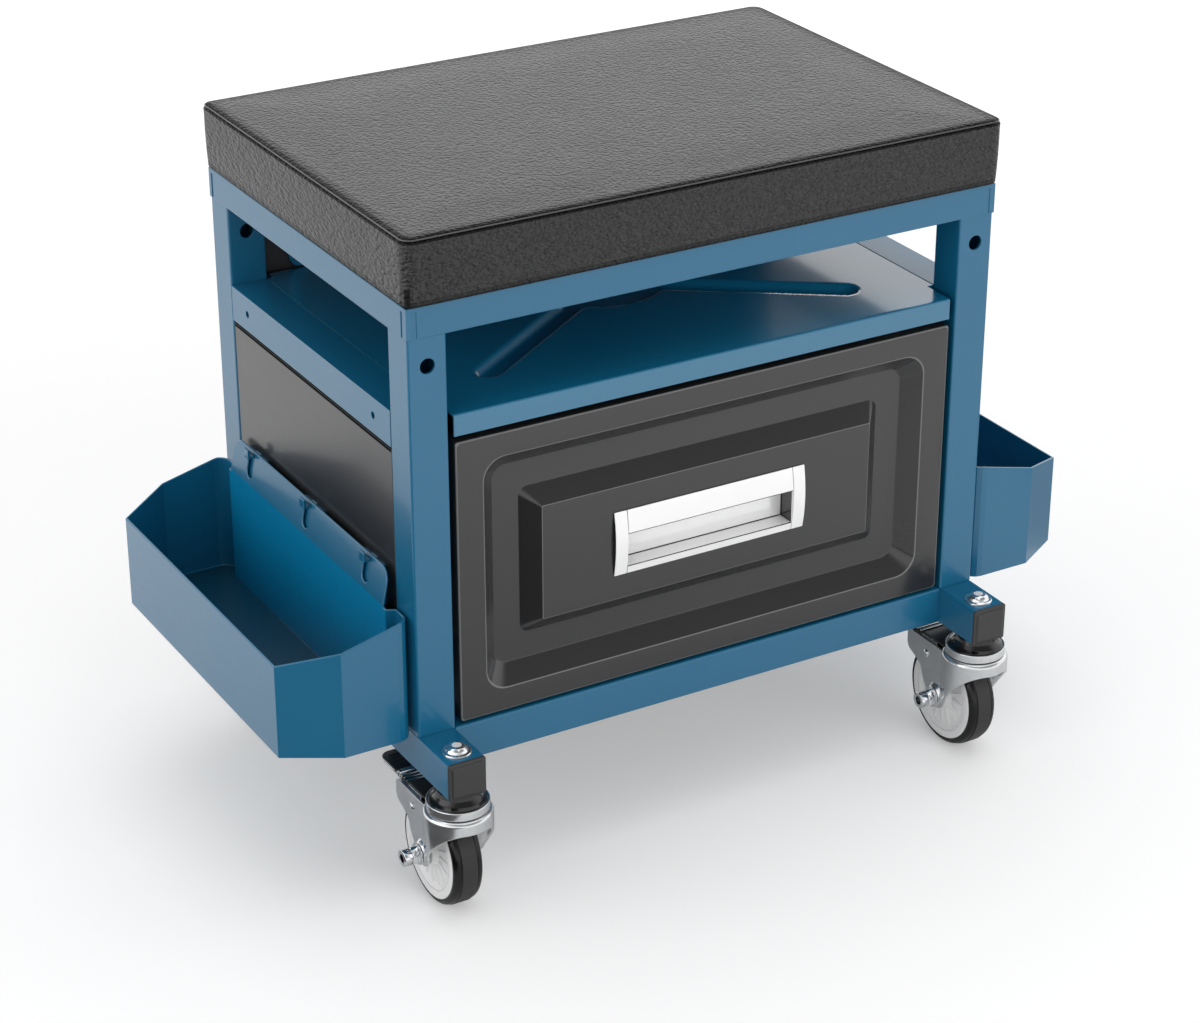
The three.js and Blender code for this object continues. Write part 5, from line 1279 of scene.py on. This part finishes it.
def rib_tree():
    """Thin radial ribs set round an axis along X and joined to the hub."""
    tree, given, result = node_group(
        "radial_ribs", "Geometry",
        [("Hub", "Geometry"), ("Count", "Int"), *((label, "Float") for label in (
            "Inner Radius", "Outer Radius", "Thickness", "Width")), ("Finish", "Material")], [("Hub", "Geometry")])
    inner, outer = given["Inner Radius"], given["Outer Radius"]
    size = shade(tree, "ShaderNodeCombineXYZ", {
        "X": given["Width"], "Y": sum_of(tree, outer, inner, "SUBTRACT"), "Z": given["Thickness"]})[0]
    bar = shade(tree, "GeometryNodeMeshCube", {"Size": size, "Vertices X": 3, "Vertices Y": 6, "Vertices Z": 2})[0]
    away = shade(tree, "ShaderNodeCombineXYZ", {"Y": product(tree, sum_of(tree, outer, inner), 0.5)})[0]
    placed = shade(tree, "GeometryNodeTransform", {"Geometry": bar, "Translation": away})[0]
    spots = shade(tree, "GeometryNodePoints", {"Count": given["Count"]})[0]
    step = sum_of(tree, 2 * math.pi, given["Count"], "DIVIDE")
    index = shade(tree, "GeometryNodeInputIndex")[0]
    turn = shade(tree, "ShaderNodeCombineXYZ", {"X": product(tree, index, step)})[0]
    rotation = shade(tree, "FunctionNodeEulerToRotation", {0: turn})[0]
    ribs = shade(tree, "GeometryNodeInstanceOnPoints", {"Points": spots, "Instance": placed, "Rotation": rotation})[0]
    together = tree.nodes.new("GeometryNodeJoinGeometry")
    feed(together.inputs[0], shade(tree, "GeometryNodeRealizeInstances", {0: ribs})[0])
    feed(together.inputs[0], given["Hub"])
    painted = shade(tree, "GeometryNodeSetMaterial", {"Geometry": together.outputs[0], "Material": given["Finish"]})[0]
    feed(result[0], painted)
    return tree


def both_sides(half, first):
    """A closed wheel profile from the corners (radius, distance from the middle, fillet) of one side."""
    left = [(radius, -x, fillet) for radius, x, fillet in half]
    return left + list(reversed(half)) + [first]


def hub_form():
    """White hub: a flat rim face with a fine groove, a shallow dish on each side, and radial ribs in it."""
    half = [(4.3, 10.4, 0), (7.0, 10.4, 0.5), (7.5, 9.6, 0.5), (8.4, 6.6, 1.5), (19.6, 6.7, 2.0), (21.5, 8.5, 0.6),
            (22.2, 8.7, 0.1), (22.35, 7.7, 0), (22.75, 7.7, 0), (22.9, 8.8, 0.1), (26.4, 8.95, 0.4), (27.1, 8.7, 0)]
    disc = tinted(turned("hub_disc", both_sides(half, (4.3, -10.4, 0)), 4, 96), NYLON)
    return smoothed(with_tree(disc, rib_tree(), **{
        "Count": 16, "Inner Radius": 7.2 * MM, "Outer Radius": 20.6 * MM, "Thickness": 1.1 * MM, "Width": 14.4 * MM,
        "Finish": NYLON}), 30)


def tyre_form():
    half = [(27.15, 8.3, 0), (27.5, 8.65, 0.2), (28.6, 8.6, 0.8), (30.5, 7.4, 2.4), (31.1, 5.25, 0.5),
            (30.95, 4.95, 0.1), (30.95, 4.7, 0.1), (31.45, 4.4, 0.3), (31.5, 2.0, 0)]
    tyre = smoothed(turned("tyre_band", both_sides(half, (27.15, -8.3, 0)), 5, 144), 30)
    for face in tinted(tyre, RUBBER, TREAD).data.polygons:
        face.material_index = 1 if abs(face.center.x) < 4.45 * MM and face.normal.yz.length > 0.8 else 0
    return tyre


PLATE_TOP = CROWN_TOP - 0.7
PLATE_HALF, PAD_MID, PAD_HALF_X, PAD_HALF_Y = 10.7, 49.0, 12, 21
PLATE_HOLLOW_R, HOLLOW_HALF = 17.9, 37.2    # the plate's inner edge, an arc about the swivel axis
SHOE_BOTTOM, GRIP_LINES, BAR_LINES = -21.9, (55.5, 58.5, 61.5, 64.5), (38.6, 41.9, 45.0)


def tongue(half_x, half_y, turn, start):
    """A rounded pad's outline (x, y) that begins on a straight edge."""
    return [(-half_x, start), (half_x, start)] + [
        (x, y) for x, y in rounded_rectangle(half_x, half_y, turn, 8, (0, PAD_MID)) if y > start + 0.1]


def pedal_forms():
    """Foot pedal: the black plate and pad, and the bright bars, clip, cheeks and pins that hold them."""
    top = PLATE_TOP
    hollow = [math.radians(90 - HOLLOW_HALF + 2 * HOLLOW_HALF * k / 16) for k in range(17)]
    plate = prism("pedal_plate", [(PLATE_HOLLOW_R * math.cos(a), PLATE_HOLLOW_R * math.sin(a)) for a in hollow]
                  + [(-PLATE_HALF, 34.6), (PLATE_HALF, 34.6)], "z", top - 1.2, top)
    dipped = prism("pedal_dip", [
        (34.4, top - 1.2), (34.4, top), (35.2, top - 0.1), (37.6, top - 1.5), (49.0, top - 1.6), (49.0, top - 2.8),
        (37.2, top - 2.8)], "x", -PLATE_HALF, PLATE_HALF)
    pad = softened(prism("foot_pad", tongue(PAD_HALF_X, PAD_HALF_Y, 5.5, 49.3), "z", top - 0.6, top + 1.0), 0.7, 3, 40)
    grip = [prism("grip_rib", [(y - 0.7, top + 0.8), (y - 0.35, top + 1.35), (y + 0.35, top + 1.35),
                               (y + 0.7, top + 0.8)], "x", -8.6, 8.6) for y in GRIP_LINES]
    shoe = prism("brake_shoe", [(39.9, SHOE_BOTTOM), (43.7, SHOE_BOTTOM), (43.9, top - 2.4), (39.7, top - 2.4)],
                 "x", -9.6, 9.6)
    for part in (plate, dipped, shoe):
        softened(part, 0.25, 2, 35)
    black = smoothed(tinted(united("pedal_plate_and_pad", [plate, dipped, pad, shoe] + grip), PEDAL_BLACK), 40)

    section = [math.pi * 2 * k / 16 for k in range(16)]
    bright = [prism("pedal_bar", [(y + 0.75 * math.cos(a), top - 1.15 + 0.95 * math.sin(a)) for a in section],
                    "x", -10.6, 10.6) for y in BAR_LINES]
    clip = prism("pedal_clip", filleted([(46.6, top - 2.2, 0), (46.6, top + 0.5, 0.5), (50.0, top + 0.7, 0.8),
                                         (50.0, top - 3.4, 0), (48.9, top - 3.4, 0), (48.9, top - 0.6, 0.3),
                                         (47.7, top - 0.6, 0.3), (47.7, top - 2.2, 0)], steps=4), "x", -10.9, 10.9)
    backing = prism("pad_backing", tongue(PAD_HALF_X - 0.6, PAD_HALF_Y - 0.6, 5.2, 49.6), "z", top - 2.3, top - 0.75)
    bright += [softened(clip, 0.15, 2, 35), softened(backing, 0.25, 2, 35)]
    cheek_outline = filleted([
        (22.2, top - 1.9, 0), (25.6, -25.0, 3.0), (PIVOT_Y, -27.6, 3.0), (33.8, -25.2, 3.0), (44.0, -17.6, 3.0),
        (48.8, -16.2, 0.5), (48.8, top - 1.9, 0)], steps=5)
    for sign in (-1, 1):
        cheek = prism("pedal_cheek", cheek_outline, "x", *sorted((sign * 9.75, sign * 10.7)))
        pin = turned("pivot_pin", [(0, 10.2, 0), (2.0, 10.2, 0), (2.0, 12.62, 0), (2.5, 12.62, 0.1),
                                   (2.5, 13.0, 0.3), (1.5, 13.45, 0.8), (0, 13.5, 0)], 4, 32)
        bright += [softened(cheek, 0.15, 2, 35), shifted(handed(pin, sign), 0, PIVOT_Y, PIVOT_Z)]
    return black, smoothed(tinted(united("pedal_bars_and_pins", bright), CHROME), 40)


def casters():
    stem, nut = stem_form(), cap_nut_form()
    axle, hub, tyre = (shifted(form, 0, TRAIL, AXLE) for form in (axle_form(), hub_form(), tyre_form()))
    forks = {braked: fork_form(braked) for braked in (True, False)}
    plate, metal = pedal_forms()

    def placed(form, name, side_sign, end_sign):
        piece = object_of(name, form.data.copy())
        if end_sign > 0:
            piece.data.transform(Matrix.Rotation(math.pi, 4, "Z"))
        return shifted(piece, side_sign * TUBE_X, end_sign * STEM_Y, SKID_BOTTOM)

    for corner, *signs in CORNERS:
        braked = signs[1] < 0
        rows = [(stem, "caster_stem", "stem_and_seal", "zinc"), (nut, "cap_nut", "dome_nut", "nut_chrome"),
                (forks[braked], "fork", "pressed_fork", "zinc"), (axle, "axle", "axle_bolt", "zinc"),
                (hub, "hub", "ribbed_hub", "hub_white"), (tyre, "tyre", "rubber_tyre", "tyre_black")]
        if braked:
            rows.append((plate, "brake_pedal", "pedal_plate", "pedal_black"))
            carried(placed(metal, f"{corner}_pedal_metal", *signs), body=f"{corner}_pedal", slot="zinc")
        for form, name, look, slot in rows:
            carried(placed(form, f"{corner}_{look}", *signs), f"{corner}_{name}", slot=slot)
    for form in (stem, nut, axle, hub, tyre, *forks.values(), plate, metal):
        discard(form)


casters()

# ------------------------------------------------------------------ studio: floor, lights, backdrop

FLOOR_HALF, FLAG_HEIGHT = 9000, 2
# the floor's glow as (from, to, glow there, glow there) in metres from the seat
SEEN_GLOW, MIRRORED_GLOW = (0.5, 2.2, 0.26, 0.62), (0.22, 0.7, 0.0, 0.36)
ROOM_GLOW, ROOM_LIGHT = (0.62, 0.88, 1.25, 0.34), 0.66


def lying_card(name, left, front, right, back, z, **finish):
    """A flat card with its own material."""
    card = piece_from(name, [(left, front, z), (right, front, z), (right, back, z), (left, back, z)], [(0, 1, 2, 3)])
    material, tree, shader = new_material(name, **finish)
    tinted(card, material)
    return card, tree, shader


def floor():
    """A white floor that keeps the shadow; the camera sees it whiter further out, and polished faces see it white."""
    _, tree, shader = lying_card("studio_floor", -FLOOR_HALF, -FLOOR_HALF, FLOOR_HALF, FLOOR_HALF, 0, Roughness=0.9,
                                 Specular_IOR_Level=0.1, Emission_Color=(1, 1, 1, 1))
    place = object_place(tree)
    tone = noise(tree, place, 3.0, 2.0)
    feed(shader["Base Color"], mixed(tree, tone, (0.80, 0.80, 0.80, 1), (0.82, 0.82, 0.82, 1)))
    path = shade(tree, "ShaderNodeLightPath")
    away = vectors(tree, "LENGTH", {0: place})["Value"]
    to_camera = product(tree, path["Is Camera Ray"], ranged(tree, away, *SEEN_GLOW))
    to_gloss = product(tree, path["Is Glossy Ray"], ranged(tree, away, *MIRRORED_GLOW))
    feed(shader["Emission Strength"], sum_of(tree, to_camera, to_gloss, "MAXIMUM"))


def flag(name, tone, *sides):
    """A dark card lying beside the seat. Only glossy faces see it, as a darker zone."""
    card, _, _ = lying_card(name, *sides, FLAG_HEIGHT, Base_Color=(tone, tone, tone, 1), Roughness=1.0,
                            Specular_IOR_Level=0.0)
    card.visible_camera = card.visible_diffuse = card.visible_shadow = card.visible_transmission = False


LAMP_AIM = Vector((0, 0, 0.2))


def softbox(name, place, size, power, glossy=True):
    lamp = bpy.data.lights.new(name, "AREA")
    lamp.shape = "RECTANGLE"
    lamp.size, lamp.size_y = size
    lamp.energy = power
    box = bpy.data.objects.new(name, lamp)
    box.location = place
    box.visible_glossy = glossy
    aimed(box, LAMP_AIM - Vector(place))


def studio_air():
    """Even light from all round; polished faces see a white room that is dimmer above and behind the camera."""
    world = bpy.data.worlds.new("studio_air")
    world.use_nodes = True
    scene.world = world
    tree = world.node_tree
    tree.nodes.clear()
    path = shade(tree, "ShaderNodeLightPath")
    to_camera, to_gloss = path["Is Camera Ray"], path["Is Glossy Ray"]
    ray = shade(tree, "ShaderNodeTexCoord")["Generated"]
    ahead = vectors(tree, "DOT_PRODUCT", {0: ray, 1: (0.1, -0.5, 0.86)})["Value"]
    room = ranged(tree, ahead, *ROOM_GLOW)
    even = sum_of(tree, 1.0, sum_of(tree, to_camera, to_gloss, "MAXIMUM"), "SUBTRACT")
    strength = sum_of(tree, to_camera, sum_of(tree, product(tree, to_gloss, room), product(tree, even, ROOM_LIGHT)))
    air = shade(tree, "ShaderNodeBackground", {"Color": (1, 1, 1, 1), "Strength": strength})[0]
    shade(tree, "ShaderNodeOutputWorld", {"Surface": air})


floor()
flag("black_flag_left", 0.05, -850, -850, -240, -20)
flag("grey_flag_right", 0.4, 430, -420, 950, 330)
softbox("left_softbox", (-2.3, 0.1, 0.95), (2.2, 1.5), 10)
softbox("top_softbox", (0.3, 0.2, 2.3), (2.2, 2.2), 14)
softbox("front_fill", (0.6, -2.4, 1.0), (2.0, 1.4), 16, glossy=False)
studio_air()
scene.view_settings.view_transform = "Standard"
